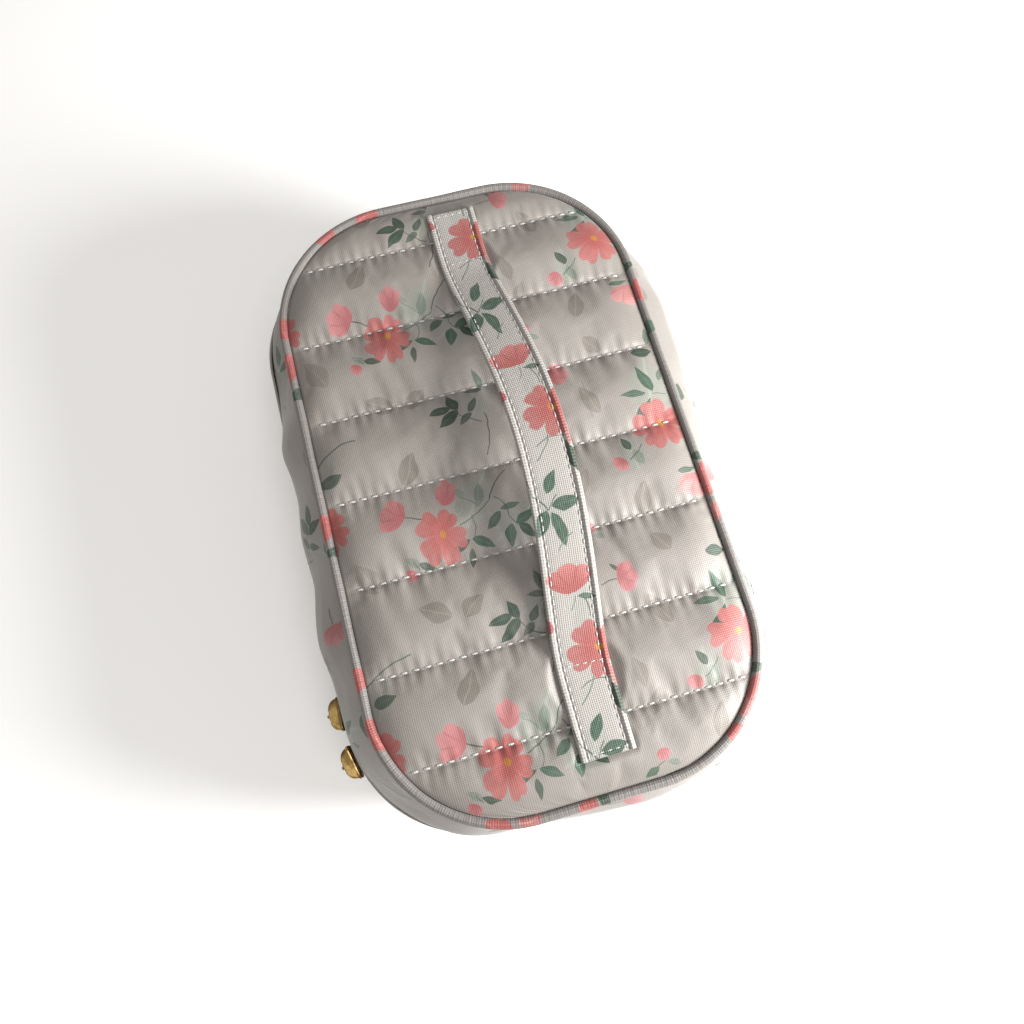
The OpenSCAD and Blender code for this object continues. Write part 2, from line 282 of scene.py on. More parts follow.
CORAL = (0.240, 0.053, 0.048)
CORAL_PALE = (0.255, 0.098, 0.092)
ROSE = (0.225, 0.064, 0.066)
AMBER = (0.290, 0.115, 0.012)
PINE = (0.018, 0.036, 0.022)
FERN = (0.027, 0.058, 0.036)
SAGE = (0.088, 0.118, 0.092)
MINT = (0.168, 0.192, 0.162)
TWIG = (0.045, 0.052, 0.040)
GHOST = (0.110, 0.096, 0.080)
GROUND = (0.188, 0.172, 0.156)
# the piping's ground: the print's ground darkened, as painted shade on the round cord
PIPING_SHADED_GROUND = (0.140, 0.130, 0.122)
CREAM = (0.275, 0.262, 0.243)
LINING = (0.215, 0.185, 0.172)
TAPE = (0.235, 0.218, 0.202)
THREAD = (0.36, 0.35, 0.335)
BRASS_BROWN, BRASS_BRIGHT = (0.19, 0.120, 0.045), (0.44, 0.30, 0.115)
NYLON_DARK, NYLON_LIGHT = (0.22, 0.20, 0.18), (0.27, 0.25, 0.23)


# ---------------------------------------------------------------- the printed motifs


def leaf_group():
    """A pointed leaf along x from -1 to 1: how much of it is here, and how much of its midrib."""
    net, given, made = new_group("leaf", ("X", "Y", "Bend"), ("Mask", "Rib"))
    x, y = given[0], given[1]
    crown = net.calc("MAXIMUM", net.less(1.0, net.times(x, x)), 0.0)
    across = net.calc("ABSOLUTE", net.times_plus(crown, given[2], y))
    lean = net.times_plus(x, -0.28, 0.92)
    room = net.less(net.times(crown, lean), across)
    net.put(made[0], net.ease(room, 0.0, 0.14))
    net.put(made[1], net.ease(across, 0.02, 0.12, 1.0, 0.0))


def flower_group():
    """A five-petalled flower of radius 1, turned by Turn: its mask, its shade and its amber eye."""
    net, given, made = new_group("flower", ("X", "Y", "Turn"), ("Mask", "Shade", "Eye"))
    x, y = given[0], given[1]
    length = net.calc("SQRT", net.times_plus(x, x, net.times(y, y)))
    angle = net.calc("ARCTAN2", y, x)
    # petals are not all as wide or as long as each other
    around = net.less(angle, given[2])
    uneven = net.times_plus(net.sine(net.plus(around, 2.2)), 0.20, around)
    # fold is 0 at a petal's middle and 0.5 at the gap between two petals
    fold = net.calc("PINGPONG", net.times(uneven, 5 / (2 * math.pi)), 0.5)
    wide = net.less(1.0, net.calc("POWER", net.times(fold, 1.96), 4.5))
    notch = net.ease(fold, 0.0, 0.16, 0.90, 1.0)
    lopsided = net.times_plus(net.sine(net.plus(angle, -2.3)), 0.12, 0.97)
    reach = net.times(net.times(net.times_plus(wide, 0.46, 0.51), notch), lopsided)
    net.put(made[0], net.ease(net.less(reach, length), -0.02, 0.06))
    streak = net.times(net.sine(net.times(angle, 17.0)), 0.10)
    gap = net.ease(fold, 0.38, 0.5, 0.0, -0.35)
    heart = net.ease(length, 0.05, 0.85, 1.0, 0.12)
    net.put(made[1], net.plus(heart, net.plus(streak, gap), clamp=True))
    net.put(made[2], net.ease(length, 0.08, 0.17, 1.0, 0.0))


def cup_group():
    """A flower seen from the side: three round lobes that fan out towards +y."""
    net, given, made = new_group("cup", ("X", "Y"), ("Mask", "Shade"))
    x, low = given[0], net.plus(given[1], 0.72)
    length = net.calc("SQRT", net.times_plus(x, x, net.times(low, low)))
    angle = net.calc("ARCTAN2", x, low)
    fold = net.calc("PINGPONG", net.times(angle, 1 / 0.66), 0.5)
    lobe = net.times_plus(net.calc("POWER", net.times(fold, 1.9), 3.0), -0.26, 1.62)
    lean = net.times(net.times(angle, angle), 0.22)
    fan = net.ease(net.calc("ABSOLUTE", angle), 0.90, 1.75, 1.0, 0.26)
    reach = net.times(net.less(lobe, lean), fan)
    net.put(made[0], net.ease(net.less(reach, length), -0.02, 0.12))
    crease = net.ease(fold, 0.36, 0.5, 0.0, 0.45)
    net.put(made[1], net.plus(net.ease(length, 0.2, 1.7, 0.95, 0.1), crease, clamp=True))


def stem_group():
    """A thin line along x from -1 to 1, bowed by Bend in its own units."""
    net, given, made = new_group("stem", ("X", "Y", "Bend"), ("Mask",))
    x, y = given[0], given[1]
    crown = net.less(1.0, net.times(x, x))
    across = net.calc("ABSOLUTE", net.times_plus(crown, given[2], y))
    line = net.ease(across, 0.16, 0.42, 1.0, 0.0)
    net.put(made[0], net.times(line, net.ease(crown, 0.0, 0.12)))


# Motifs of the print, in millimetres: (x, y, angle, length, width, bend, colour, strength)
LEAVES = [
    # pale washes under the leaves
    (-14, -8, 60, 24, 15, 0.0, MINT, 0.42), (-2, -19, 30, 22, 17, 0.0, MINT, 0.36),
    (58, 17, 80, 24, 17, 0.0, MINT, 0.50), (44, -6, 90, 15, 10, 0.0, MINT, 0.45),
    (-3, 28, 60, 22, 11, 0.0, MINT, 0.30), (-62, 13, 70, 17, 9, 0.0, MINT, 0.35),
    # pale leaves that look like shadows in the ground
    (-34, 9, 62, 13, 8, 0.1, GHOST, 0.81), (-57, -26, 118, 14, 9, 0.0, GHOST, 0.50),
    (43, -23, 70, 13, 7, -0.2, GHOST, 0.70), (35, 17, 115, 13, 6.5, 0.1, GHOST, 0.70),
    (43, 38.5, 125, 9, 7, 0.0, GHOST, 0.61), (-38, 35, 150, 12, 8, 0.0, GHOST, 0.70),
    (-25, 34, 35, 10, 7, 0.0, GHOST, 0.70), (21, -1, 100, 12, 5.5, 0.15, GHOST, 0.57),
    (24, -12, 60, 11, 5, -0.1, GHOST, 0.57),
    # pale green leaves by the first flower
    (-13, -7, 76, 9.5, 4.2, 0.1, SAGE, 0.75), (-20, -4, 150, 6, 2.6, 0.0, SAGE, 0.45),
    (-21, -9, 70, 6, 2.2, 0.0, SAGE, 0.35), (-41, -24.5, 145, 6, 3.4, 0.1, SAGE, 0.65),
    # sprig to the right of the first flower
    (-24.5, -24, 207, 10.5, 3.6, 0.25, PINE, 0.9), (-15.5, -24, -32, 9, 3.8, -0.2, FERN, 1.0),
    (-20.8, -28, 262, 7.5, 2.6, 0.1, PINE, 0.85), (-10, -17.7, 218, 8, 3.8, 0.1, FERN, 0.95),
    (-3.3, -14, 8, 7.5, 3.0, -0.2, FERN, 0.9), (-5.7, -24, 254, 8.5, 4.6, 0.15, FERN, 1.0),
    (0.5, -18.5, 22, 8.5, 4.2, 0.1, FERN, 1.0), (0.5, -23.5, -50, 8, 4.2, 0.1, PINE, 1.0),
    (-36, -26.5, -25, 6.5, 3.0, 0.2, PINE, 0.9),
    # dark sprig in the middle
    (-12.6, 29, 112, 7.5, 4.6, -0.15, PINE, 1.0), (-18, 26.3, 188, 9, 4.2, 0.25, PINE, 1.0),
    (-15.3, 22.5, 216, 10.5, 4.8, 0.1, PINE, 1.0), (-6, 26.3, 58, 6.5, 3.6, 0.1, PINE, 0.85),
    (-9.3, 21.4, 214, 6.5, 3.0, 0.1, PINE, 0.8), (-1.6, 36.5, 100, 8, 3.2, 0.1, FERN, 0.8),
    (-4, 32, 175, 7, 3.0, 0.1, PINE, 0.8),
    # leaves of the second flower, at the right
    (53.2, 8.3, 42, 12, 4.4, 0.2, PINE, 0.95), (57, 19.5, 106, 11, 4.4, 0.1, FERN, 1.0),
    (51, 14.8, 176, 10, 3.2, 0.1, FERN, 0.9), (60.3, 31, -8, 8.5, 5.0, 0.1, PINE, 1.0),
    (64.5, 37, 80, 7, 3.2, 0.1, FERN, 0.8), (42.7, -2.6, 112, 6.5, 3.4, 0.1, PINE, 0.95),
    (45.3, -9, 285, 7, 3.8, 0.0, SAGE, 0.7), (61, -16.6, 8, 8, 2.6, 0.3, FERN, 0.9),
    (64, 21, 60, 6, 2.6, 0.1, FERN, 0.7), (-61, 11.5, 10, 9, 5, 0.1, PINE, 0.8),
    # leaves of the small bud near the middle
    (15.5, -32.8, 20, 6, 3.0, 0.1, FERN, 0.9), (23.2, -31.8, 150, 5, 2.4, 0.1, SAGE, 0.7),
    (24.3, 33.5, 128, 4.6, 1.6, 0.1, PINE, 0.8),
]
# Line from one end to the other, bow to the left in millimetres, width, colour and strength
STEMS = [
    (-22, -16.2, -10, -10.5, -0.6, 0.55, TWIG, 0.8), (-10, -10.5, -1, 0, 1.3, 0.6, TWIG, 0.9),
    (-8, -9, -5, -17, 1.2, 0.5, TWIG, 0.8), (-5, -17, 1, -24, -0.6, 0.5, TWIG, 0.8),
    (-17, -13.5, -18.5, -22, 1.2, 0.5, TWIG, 0.7), (-20, -5.5, -14, -11.5, 0.5, 0.5, SAGE, 0.8),
    (-40, -8, -34, -11, 0.0, 0.6, TWIG, 0.9), (-39, -27, -41, -24, 0.0, 0.5, TWIG, 0.7),
    (-12, 25, -4, 19, -0.9, 0.5, TWIG, 0.85), (-2.5, 22, -6, 6, 1.2, 0.6, TWIG, 0.9),
    (-66, 17.0, -49, 23.6, 1.6, 0.7, FERN, 0.8), (48, -4, 42, -9, 0.5, 0.55, TWIG, 0.7),
    (58, 13.5, 64, 12.5, 0.3, 0.5, TWIG, 0.6), (18, 29.5, 24, 30, 0.0, 0.6, TWIG, 0.8),
    (35, 10, 35, 25, 0.6, 0.4, GHOST, 0.68), (17, -32, 22, -29.5, 0.0, 0.5, TWIG, 0.7),
]
# Five-petalled flowers: (x, y, turn, half width, half height)
FLOWERS = [
    (-28.5, -17.6, 62, 9.4, 11.6), (58, 2.6, 20, 11.0, 10.4), (-67.3, -5.2, 50, 10.3, 10.3),
]
# Flowers from the side and buds: (x, y, angle, half width, half height, colour)
CUPS = [
    (-43.8, -6.8, 62, 6.0, 5.7, ROSE), (-23.8, -3.2, -8, 3.6, 6.2, ROSE),
    (27.5, 30, -95, 4.8, 4.6, ROSE), (63.5, -22.6, 180, 7.2, 5.6, CORAL_PALE),
    (-42.3, -28.4, 150, 2.3, 2.4, ROSE), (38.6, -9.4, 140, 2.8, 2.9, ROSE),
    (20.6, -28.2, 190, 2.3, 2.4, ROSE),
]

# The same for the strap's larger print
STRAP_LEAVES = [
    (-5, -20, 60, 24, 15, 0.0, MINT, 0.28), (4, 24, 80, 18, 10, 0.0, MINT, 0.28),
    (-1.2, -12.5, 60, 9.5, 4.8, -0.1, FERN, 1.0), (2.6, -20, 6, 10, 5.6, 0.1, FERN, 1.0),
    (-6.2, -26.3, 243, 10, 5.4, 0.1, FERN, 1.0), (-1.3, -28.8, 284, 13, 4.6, -0.35, FERN, 1.0),
    (8.2, -5.5, 100, 12, 4.4, 0.1, PINE, 0.95), (4.6, 29.2, 172, 6.5, 2.2, 0.2, FERN, 0.9),
    (-9, 21, 80, 5, 4.4, 0.0, ROSE, 1.0), (9.3, 2, 80, 8, 3.0, 0.0, CORAL, 0.8),
]
STRAP_STEMS = [
    (-3.4, -22.2, -8, -17, -0.4, 0.6, TWIG, 0.9), (-8, -17, -8.8, -11, 0.0, 0.5, TWIG, 0.8),
    (-3.4, -22.2, 0, -17, 0.3, 0.5, TWIG, 0.8), (-2, -36, 3, -30, 0.6, 0.5, SAGE, 0.9),
    (2, 3.5, -4, -5, 0.9, 0.5, SAGE, 1.0), (-3, 0, 8, 1.5, 1.6, 0.5, SAGE, 1.0),
    (4, 29, 5, 22, 0.5, 0.6, TWIG, 0.8), (1, 30, -1, 25, 0.4, 0.5, SAGE, 0.8),
]
STRAP_FLOWERS = [(6.3, 12.5, 47, 10.8, 10.4)]
STRAP_CUPS = [(-0.3, 35.2, 6, 7.6, 5.6, CORAL)]

# Where scraps of the print show on the piping: (x, y) beside it, length and colour
PIPING_MARKS = [
    (-67, 74, 8, CORAL), (-67, 57, 12, CORAL), (-67, 47, 4, PINE), (-67, -5, 9, CORAL),
    (-67, -13, 3, PINE), (-67, -58, 8, CORAL), (-67, -76, 10, CORAL), (-34, -115, 8, CORAL),
    (-24, -115, 7, CORAL_PALE), (-5, -115, 6, CORAL), (0, -115, 3.5, PINE), (49, -107, 6, CORAL),
    (57, -102, 6, CORAL_PALE), (61, -95, 9, CORAL), (63, -89, 3, PINE), (67, -21, 12, CORAL),
    (67, -34, 6, CORAL_PALE), (67, -13, 3, PINE), (67, 40, 5, FERN), (66, 57, 9, CORAL),
    (64, 67, 3, PINE), (36, 115, 7, CORAL_PALE), (-26, 115, 8, CORAL), (-44, 109, 8, CORAL),
]


def print_point(net, at, tile):
    """Where a point falls on the repeated tile, its lines shaken a little as a printed drawing's are."""
    x, y, _ = net.split(at)
    wrapped = net.join(net.calc("WRAP", x, tile[1], tile[0]), net.calc("WRAP", y, tile[3], tile[2]))
    _, wobble = net.noise(at, 0.16, 1.0)
    shaken = net.vector("MULTIPLY_ADD", wobble, (2.0, 2.0, 0), wrapped)
    return net.vector("SUBTRACT", shaken, (1.0, 1.0, 0))


def add_leaves(net, at, wash, colour, leaves):
    """Lays leaves with pale ribs over colour. The wash varies how strong they are."""
    for x, y, angle, length, width, bend, tint, strength in leaves:
        spot = net.place(at, x, y, angle, length / 2, width / 2)
        mask, rib = net.group("leaf", *spot, bend)[:2]
        mask = net.times(mask, net.times_plus(wash, 0.3 * strength, 0.80 * strength))
        tone = net.blend(net.times(rib, 0.35), tint, [min(1, 1.9 * c + 0.03) for c in tint])
        colour = net.blend(mask, colour, tone)
    return colour


def add_stems(net, at, colour, stems):
    """Lays bowed stems over colour."""
    for x0, y0, x1, y1, bow, width, tint, strength in stems:
        reach, room = math.hypot(x1 - x0, y1 - y0) / 2, 1.35 * width
        angle = math.degrees(math.atan2(y1 - y0, x1 - x0))
        spot = net.place(at, (x0 + x1) / 2, (y0 + y1) / 2, angle, reach, room)
        mask = net.times(net.group("stem", *spot, -bow / room)[0], strength)
        colour = net.blend(mask, colour, tint)
    return colour


def add_cups(net, at, colour, cups):
    """Lays flowers seen from the side, and buds, over colour."""
    for x, y, angle, wide, high, tint in cups:
        mask, shade = net.group("cup", *net.place(at, x, y, angle, wide, high))[:2]
        tone = net.blend(shade, [min(1, 1.15 * c + 0.06) for c in tint], tint)
        colour = net.blend(net.times(mask, 0.94), colour, tone)
    return colour


def add_flowers(net, at, wash, colour, flowers):
    """Lays open flowers over colour, their petals deeper with the wash and amber in the middle."""
    for x, y, turn, wide, high in flowers:
        spot = net.place(at, x, y, 0, wide, high)
        mask, shade, eye = net.group("flower", *spot, math.radians(turn))[:3]
        depth = net.times_plus(wash, 0.6, net.times_plus(shade, 0.95, -0.04), clamp=True)
        tone = net.blend(eye, net.blend(depth, CORAL_PALE, CORAL), AMBER)
        colour = net.blend(net.times(mask, 0.95), colour, tone)
    return colour


def print_group(name, tile, ground, leaves, stems=(), cups=(), flowers=()):
    """A floral print that repeats on tile = (x from, x to, y from, y to), later motifs on top."""
    net, given, made = new_group(name, ("At",), ("Colour",))
    at = print_point(net, given[0], tile)
    wash = net.noise(given[0], 0.28, 3.0)[0]
    colour = add_leaves(net, at, wash, ground, leaves)
    colour = add_stems(net, at, colour, stems)
    colour = add_cups(net, at, colour, cups)
    net.put(made[0], add_flowers(net, at, wash, colour, flowers))


def piping_print():
    """The piping's strip of cloth: a plain ground, darker than the print's ground as painted shade on the
    round cord, with scraps of flowers and leaves.
    """
    t, marks = even(2001, 0.0)
    ring, _ = rim(t, 0.0, PIPE_R)
    scraps = []
    for k, (x, y, long, tint) in enumerate(PIPING_MARKS):
        along = marks[np.argmin(np.hypot(ring[:, 0] - x, ring[:, 1] - y))]
        other_way = (-1) ** k
        around = PIPE_R * math.pi / 2 + other_way
        scraps.append((along, around, 14 * other_way, 1.2 * long, 12, 0.25, tint, 0.9))
    # the piping's ground colour is darkened as painted shade on the cord
    print_group("print_piping", (0, marks[-1], -3.1, 9.5), PIPING_SHADED_GROUND, scraps)


def print_coordinates(net):
    """The piece's own print coordinates, in millimetres."""
    return net.add("ShaderNodeUVMap", uv_map="print").outputs[0]


def new_material(name, rough, sheen=0.0, specular=0.4):
    material = bpy.data.materials.new(name)
    material.use_nodes = True
    shader = material.node_tree.nodes["Principled BSDF"]
    shader.inputs["Roughness"].default_value = rough
    shader.inputs["Sheen Weight"].default_value = sheen
    shader.inputs["Specular IOR Level"].default_value = specular
    return material, Net(material.node_tree), shader


def weave(net, at, pitch):
    """Height of a plain weave whose threads are pitch apart, from 0 to 1."""
    x, y, _ = net.split(at)
    turn = 2 * math.pi / pitch
    warp = net.sine(net.times(x, turn))
    weft = net.sine(net.times(y, turn))
    return net.times_plus(warp, 0.25, net.times_plus(weft, 0.25, 0.5))


def add_bump(net, shader, height, distance, strength):
    """Joins a height to a shader as a bump."""
    bump = net.add("ShaderNodeBump")
    net.put(bump.inputs["Height"], height)
    bump.inputs["Distance"].default_value = distance * MM
    bump.inputs["Strength"].default_value = strength
    net.put(shader.inputs["Normal"], bump.outputs[0])


def cloth_material(name, cloth, pitch, rough, sheen, relief, thread_tone=0.10, gather=0.0):
    """Woven cloth. cloth is a plain colour or the name of a print group, pitch the distance between
    threads, relief the depth of the weave, thread_tone how much lighter a thread is than a gap, and
    gather the depth of the folds where it is drawn round a cord."""
    material, net, shader = new_material(name, rough, sheen)
    shader.inputs["Sheen Roughness"].default_value = 0.45
    at = print_coordinates(net)
    colour = net.group(cloth, at)[0] if isinstance(cloth, str) else cloth
    threads = weave(net, at, pitch)
    patchy = net.times_plus(net.noise(at, 0.06, 3.0)[0], 0.16, 0.92 - thread_tone / 2)
    tone = net.times_plus(threads, thread_tone, patchy)
    net.put(shader.inputs["Base Color"], net.blend(1.0, colour, net.grey(tone), "MULTIPLY"))
    height = net.times_plus(net.noise(at, 1.4, 2.0)[0], 0.8, threads)
    if gather:
        x, y, _ = net.split(at)
        drawn = net.noise(net.join(x, net.times(y, 0.12)), 0.9, 1.0)[0]
        height = net.times_plus(drawn, gather, height)
    add_bump(net, shader, height, relief, 0.5)
    return material


# ---------------------------------------------------------------- mesh helpers


def mix(a, b, w):
    """From a to b as w goes from 0 to 1."""
    return a + (b - a) * w


def rim(t, w, d=0.0):
    """Points and outward normals of the bag's outline, at t from 0 to 8 round it, w of the way from
    the panel seam to the waist, grown by d. Even stretches of t are corners, odd ones are straight."""
    t, w, d = np.broadcast_arrays(np.asarray(t, float), np.asarray(w, float), np.asarray(d, float))
    a, b, r = mix(HALF_W, WAIST_W, w), mix(HALF_L, WAIST_L, w), mix(SEAM_R, WAIST_R, w)
    t = t % 8
    q = np.floor(t / 2).astype(int)
    f = t - np.floor(t)
    arc = np.floor(t).astype(int) % 2 == 0
    angle = (q + np.where(arc, f, 1.0)) * math.pi / 2
    sign_x, sign_y = np.array([1, -1, -1, 1, 1]), np.array([1, 1, -1, -1, 1])
    run = np.where(arc, 0.0, f)
    x = mix(sign_x[q], sign_x[q + 1], run) * (a - r) + (r + d) * np.cos(angle)
    y = mix(sign_y[q], sign_y[q + 1], run) * (b - r) + (r + d) * np.sin(angle)
    return np.stack([x, y], -1), np.stack([np.cos(angle), np.sin(angle)], -1)


def even(count, w=0.5, start=0.0, stop=8.0):
    """count values of t that are evenly spaced along the outline, and the lengths to them."""
    fine = np.linspace(start, stop, 6001)
    points, _ = rim(fine, w)
    length = np.r_[0, np.cumsum(np.linalg.norm(np.diff(points, axis=0), axis=1))]
    marks = np.linspace(0, length[-1], count)
    return np.interp(marks, length, fine), marks


def swell(z):
    """Share of the full bulge that the side wall has at height z."""
    z = np.asarray(z, float)
    low = np.sin(np.pi / 2 * np.clip((z - BASE_SEAM_Z) / (ZIP_Z - BASE_SEAM_Z), 0, 1))
    high = np.sin(np.pi / 2 * np.clip((EDGE_Z - z) / (EDGE_Z - ZIP_Z), 0, 1))
    return np.where(z < ZIP_Z, low, high)


def soft_noise(u, v, cell_u, cell_v, seed):
    """Smooth noise from -1 to 1, with bumps about cell_u by cell_v across."""
    table = np.random.default_rng(seed).uniform(-1, 1, (64, 64))
    a, b = np.asarray(u) / cell_u, np.asarray(v) / cell_v
    i, j = np.floor(a).astype(int), np.floor(b).astype(int)
    fa, fb = a - i, b - j
    fa, fb = fa * fa * (3 - 2 * fa), fb * fb * (3 - 2 * fb)
    low = mix(table[i % 64, j % 64], table[(i + 1) % 64, j % 64], fa)
    high = mix(table[i % 64, (j + 1) % 64], table[(i + 1) % 64, (j + 1) % 64], fa)
    return mix(low, high, fb)


def lattice(rows, cols, ring=False, tube=False):
    """Quads of a rows by cols lattice, closed along its rows if ring and across them if tube,
    and the unwrapped row and column of each quad's corners."""
    last_row, last_col = rows if tube else rows - 1, cols if ring else cols - 1
    i, j = np.meshgrid(np.arange(last_row), np.arange(last_col), indexing="ij")
    steps = ((0, 0), (0, 1), (1, 1), (1, 0))
    corners = np.stack([np.stack([i + di, j + dj], -1) for di, dj in steps], 2)
    corners = corners.reshape(-1, 4, 2)
    return (corners[..., 0] % rows) * cols + corners[..., 1] % cols, corners


def border_of(rows, cols):
    """Numbers of the points round the edge of a rows by cols grid, in order."""
    grid = np.arange(rows * cols).reshape(rows, cols)
    return np.r_[grid[0, :-1], grid[:-1, -1], grid[-1, :0:-1], grid[:0:-1, 0]]


def squircle(angle, power):
    """Cosine and sine of an angle, drawn out towards a rounded square."""
    c, s = math.cos(angle), math.sin(angle)
    return math.copysign(abs(c) ** power, c), math.copysign(abs(s) ** power, s)


def piece(name, points, faces, material, body=None, uv=None, stands_for=()):
    """A smooth mesh object from points in millimetres, which rides on body and stands for CAD nodes.
    uv holds each face corner's print coordinates, or is left out for a view from above."""
    mesh = bpy.data.meshes.new(name)
    points = np.asarray(points, float).reshape(-1, 3) * MM
    mesh.from_pydata(points.tolist(), [], [list(map(int, face)) for face in faces])
    layer = mesh.uv_layers.new(name="print")
    if uv is None:
        co = np.array([v.co for v in mesh.vertices]) / MM
        loops = np.array([loop.vertex_index for loop in mesh.loops])
        uv = co[loops][:, :2]
    layer.data.foreach_set("uv", np.asarray(uv, np.float32).reshape(-1))
    mesh.polygons.foreach_set("use_smooth", [True] * len(mesh.polygons))
    mesh.materials.append(material)
    mesh.validate()
    obj = bpy.data.objects.new(name, mesh)
    bpy.context.scene.collection.objects.link(obj)
    if stands_for:
        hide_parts(*stands_for)
    if body:
        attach(obj, body)
    return obj


def thicken(obj, thickness, offset=-1.0):
    """Gives a sheet its thickness, on the side away from its normals."""
    solid = obj.modifiers.new("thickness", "SOLIDIFY")
    solid.thickness, solid.offset = thickness * MM, offset
    solid.use_even_offset = False
    return obj


def ring_of(sections, t, marks, uv_across, tube=True, ring=True):
    """Points, faces and print coordinates of a band round the bag. sections is a list of (w, d, z),
    each given as numbers or as values for every t."""
    points = []
    for w, d, z in sections:
        flat, _ = rim(t, w, d)
        points.append(np.column_stack([flat, np.broadcast_to(z, len(t))]))
    faces, corners = lattice(len(sections), len(t), ring=ring, tube=tube)
    across = np.append(uv_across, uv_across[-1] + 0.5)
    uv = np.stack([marks[corners[..., 1]], across[corners[..., 0]]], -1)
    return np.array(points), faces, uv


def stitches(name, runs, body, material, stands_for=(), radius=0.32):
    """Short raised stitches that taper to their ends. runs holds the start, end and up of each."""
    rings, sides = 6, 6
    points, faces = [], []
    for start, end, up in runs:
        start, end, up = np.array(start, float), np.array(end, float), np.array(up, float)
        along = end - start
        side = np.cross(along, up)
        side /= np.linalg.norm(side)
        first = len(points)
        for i in range(rings):
            f = i / (rings - 1)
            thick = radius * (0.45 + 0.55 * math.sin(math.pi * f) ** 0.5)
            centre = start + along * f + up * (0.75 * radius * math.sin(math.pi * f) ** 0.7 - 0.5 * radius)
            for j in range(sides):
                a = 2 * math.pi * j / sides
                points.append(centre + thick * (math.cos(a) * side * 1.15 + math.sin(a) * up))
        quads, _ = lattice(rings, sides, ring=True)
        faces += [[first + k for k in quad] for quad in quads.tolist()]
        faces.append([first + j for j in range(sides)][::-1])
        faces.append([first + (rings - 1) * sides + j for j in range(sides)])
    return piece(name, points, faces, material, body, stands_for=stands_for)


# ---------------------------------------------------------------- quilted lid

THREAD_LOW, THREAD_HIGH = span("lid_quilting_thread")
THREAD_R = 0.35
ROW_Y = np.linspace(THREAD_LOW[1] + THREAD_R, THREAD_HIGH[1] - THREAD_R, 7)
STITCH = 4.0
PUFF = 3.9
# Rows of points in a full roll, before the first seam and after the last, and columns. The rows
# are even numbers, so that every second one falls on the seams too.
ROLL_POINTS, NEAR_POINTS, FAR_POINTS = 34, 24, 20
QUILT_COLS = 145

STRAP_LOW = span("handle_edge_left")[0]
STRAP_HIGH = span("handle_edge_right")[1]
STRAP_BOW = 7.0
STRAP_T = 1.8
STRAP_W = STRAP_HIGH[0] - STRAP_LOW[0] - STRAP_BOW
STRAP_MID = STRAP_LOW[0] + STRAP_W / 2
STRAP_RISE = STRAP_HIGH[2] - STRAP_LOW[2] - STRAP_T
SEWN_NEAR, SEWN_FAR = 31.0, 24.0


def strap_at(y):
    """Middle and underside of the strap at y. The bends where the sewn ends stop are eased."""
    near, far = STRAP_LOW[1] + SEWN_NEAR, STRAP_HIGH[1] - SEWN_FAR
    eased = np.zeros_like(np.asarray(y, float)), np.zeros_like(np.asarray(y, float))
    for shift in np.linspace(-7, 7, 9):
        arch = np.sin(np.pi * np.clip((y + shift - near) / (far - near), 0, 1))
        eased = eased[0] + arch ** 1.2 / 9, eased[1] + arch ** 1.1 / 9
    return STRAP_MID + STRAP_BOW * eased[0], STRAP_LOW[2] + STRAP_RISE * eased[1]


def half_width(y):
    """Half the panel's width at y."""
    over = np.clip(np.abs(y) - (HALF_L - SEAM_R), 0, SEAM_R)
    return HALF_W - SEAM_R + np.sqrt(SEAM_R ** 2 - over ** 2)


def edge_distance(x, y):
    """How far inside the panel's seam a point is."""
    qx = np.maximum(np.abs(x) - (HALF_W - SEAM_R), 0)
    qy = np.maximum(np.abs(y) - (HALF_L - SEAM_R), 0)
    flat = np.minimum(HALF_W - np.abs(x), HALF_L - np.abs(y))
    return np.where((qx > 0) & (qy > 0), SEAM_R - np.hypot(qx, qy), flat)


def quilt_height(x, y):
    """Height of the lid's cloth over its seam: a soft roll between each two stitched rows."""
    seams = np.r_[-HALF_L, ROW_Y, HALF_L]
    k = np.clip(np.searchsorted(seams, y) - 1, 0, len(seams) - 2)
    wide = seams[k + 1] - seams[k]
    across = np.clip((y - seams[k]) / wide, 0, 1)
    roll = np.sin(np.pi * across) ** 0.62 * np.minimum(1, wide / 31) ** 0.6
    edge = np.clip(edge_distance(x, y), 0, None)
    side = 1 - (1 - np.minimum(edge / 15, 1)) ** 2.6
    height = PUFF * roll * side
    to_row = np.min([np.abs(y - row) for row in ROW_Y], axis=0)
    # the cloth stands up a little between two stitches
    near = np.exp(-(to_row / 3.2) ** 1.3) * np.minimum(edge / 6, 1)
    between = 0.5 - 0.5 * np.cos(2 * np.pi * x / STITCH)
    height += 0.70 * near * between * (0.75 + 0.5 * soft_noise(x, y, 9, 40, 3))
    # puckers that fan out from the seams, and a slow unevenness
    fan = np.exp(-to_row / 8.0) * np.minimum(to_row / 2.0, 1) * np.minimum(edge / 8, 1)
    height += 0.80 * fan * soft_noise(x + 0.25 * y, y, 4.6, 15, 5)
    height += 0.40 * side * soft_noise(x, y, 24, 13, 7)
    return height


def press_under_strap(x, y, z):
    """The sewn ends of the strap hold the padding down."""
    mid, under = strap_at(y)
    beside = np.maximum(np.abs(x - mid) - STRAP_W / 2, 0)
    past = np.maximum(np.maximum(STRAP_LOW[1] - y, y - STRAP_HIGH[1]), 0)
    free = np.hypot(beside, past)
    room = under - 0.12 + 0.55 * free
    return np.where(z > room, room, z)


def quilt_grid():
    """Points of the lid's cloth in rows and columns, with a row of points on each stitched row."""
    marks = np.cumsum([0, NEAR_POINTS] + [ROLL_POINTS] * (len(ROW_Y) - 1) + [FAR_POINTS])
    y = np.interp(np.arange(marks[-1] + 1), marks, [-HALF_L, *ROW_Y, HALF_L])
    y = np.repeat(y[:, None], QUILT_COLS, 1)
    x = half_width(y) * np.linspace(-1, 1, QUILT_COLS)[None, :]
    return np.stack([x, y, EDGE_Z + quilt_height(x, y)], -1)


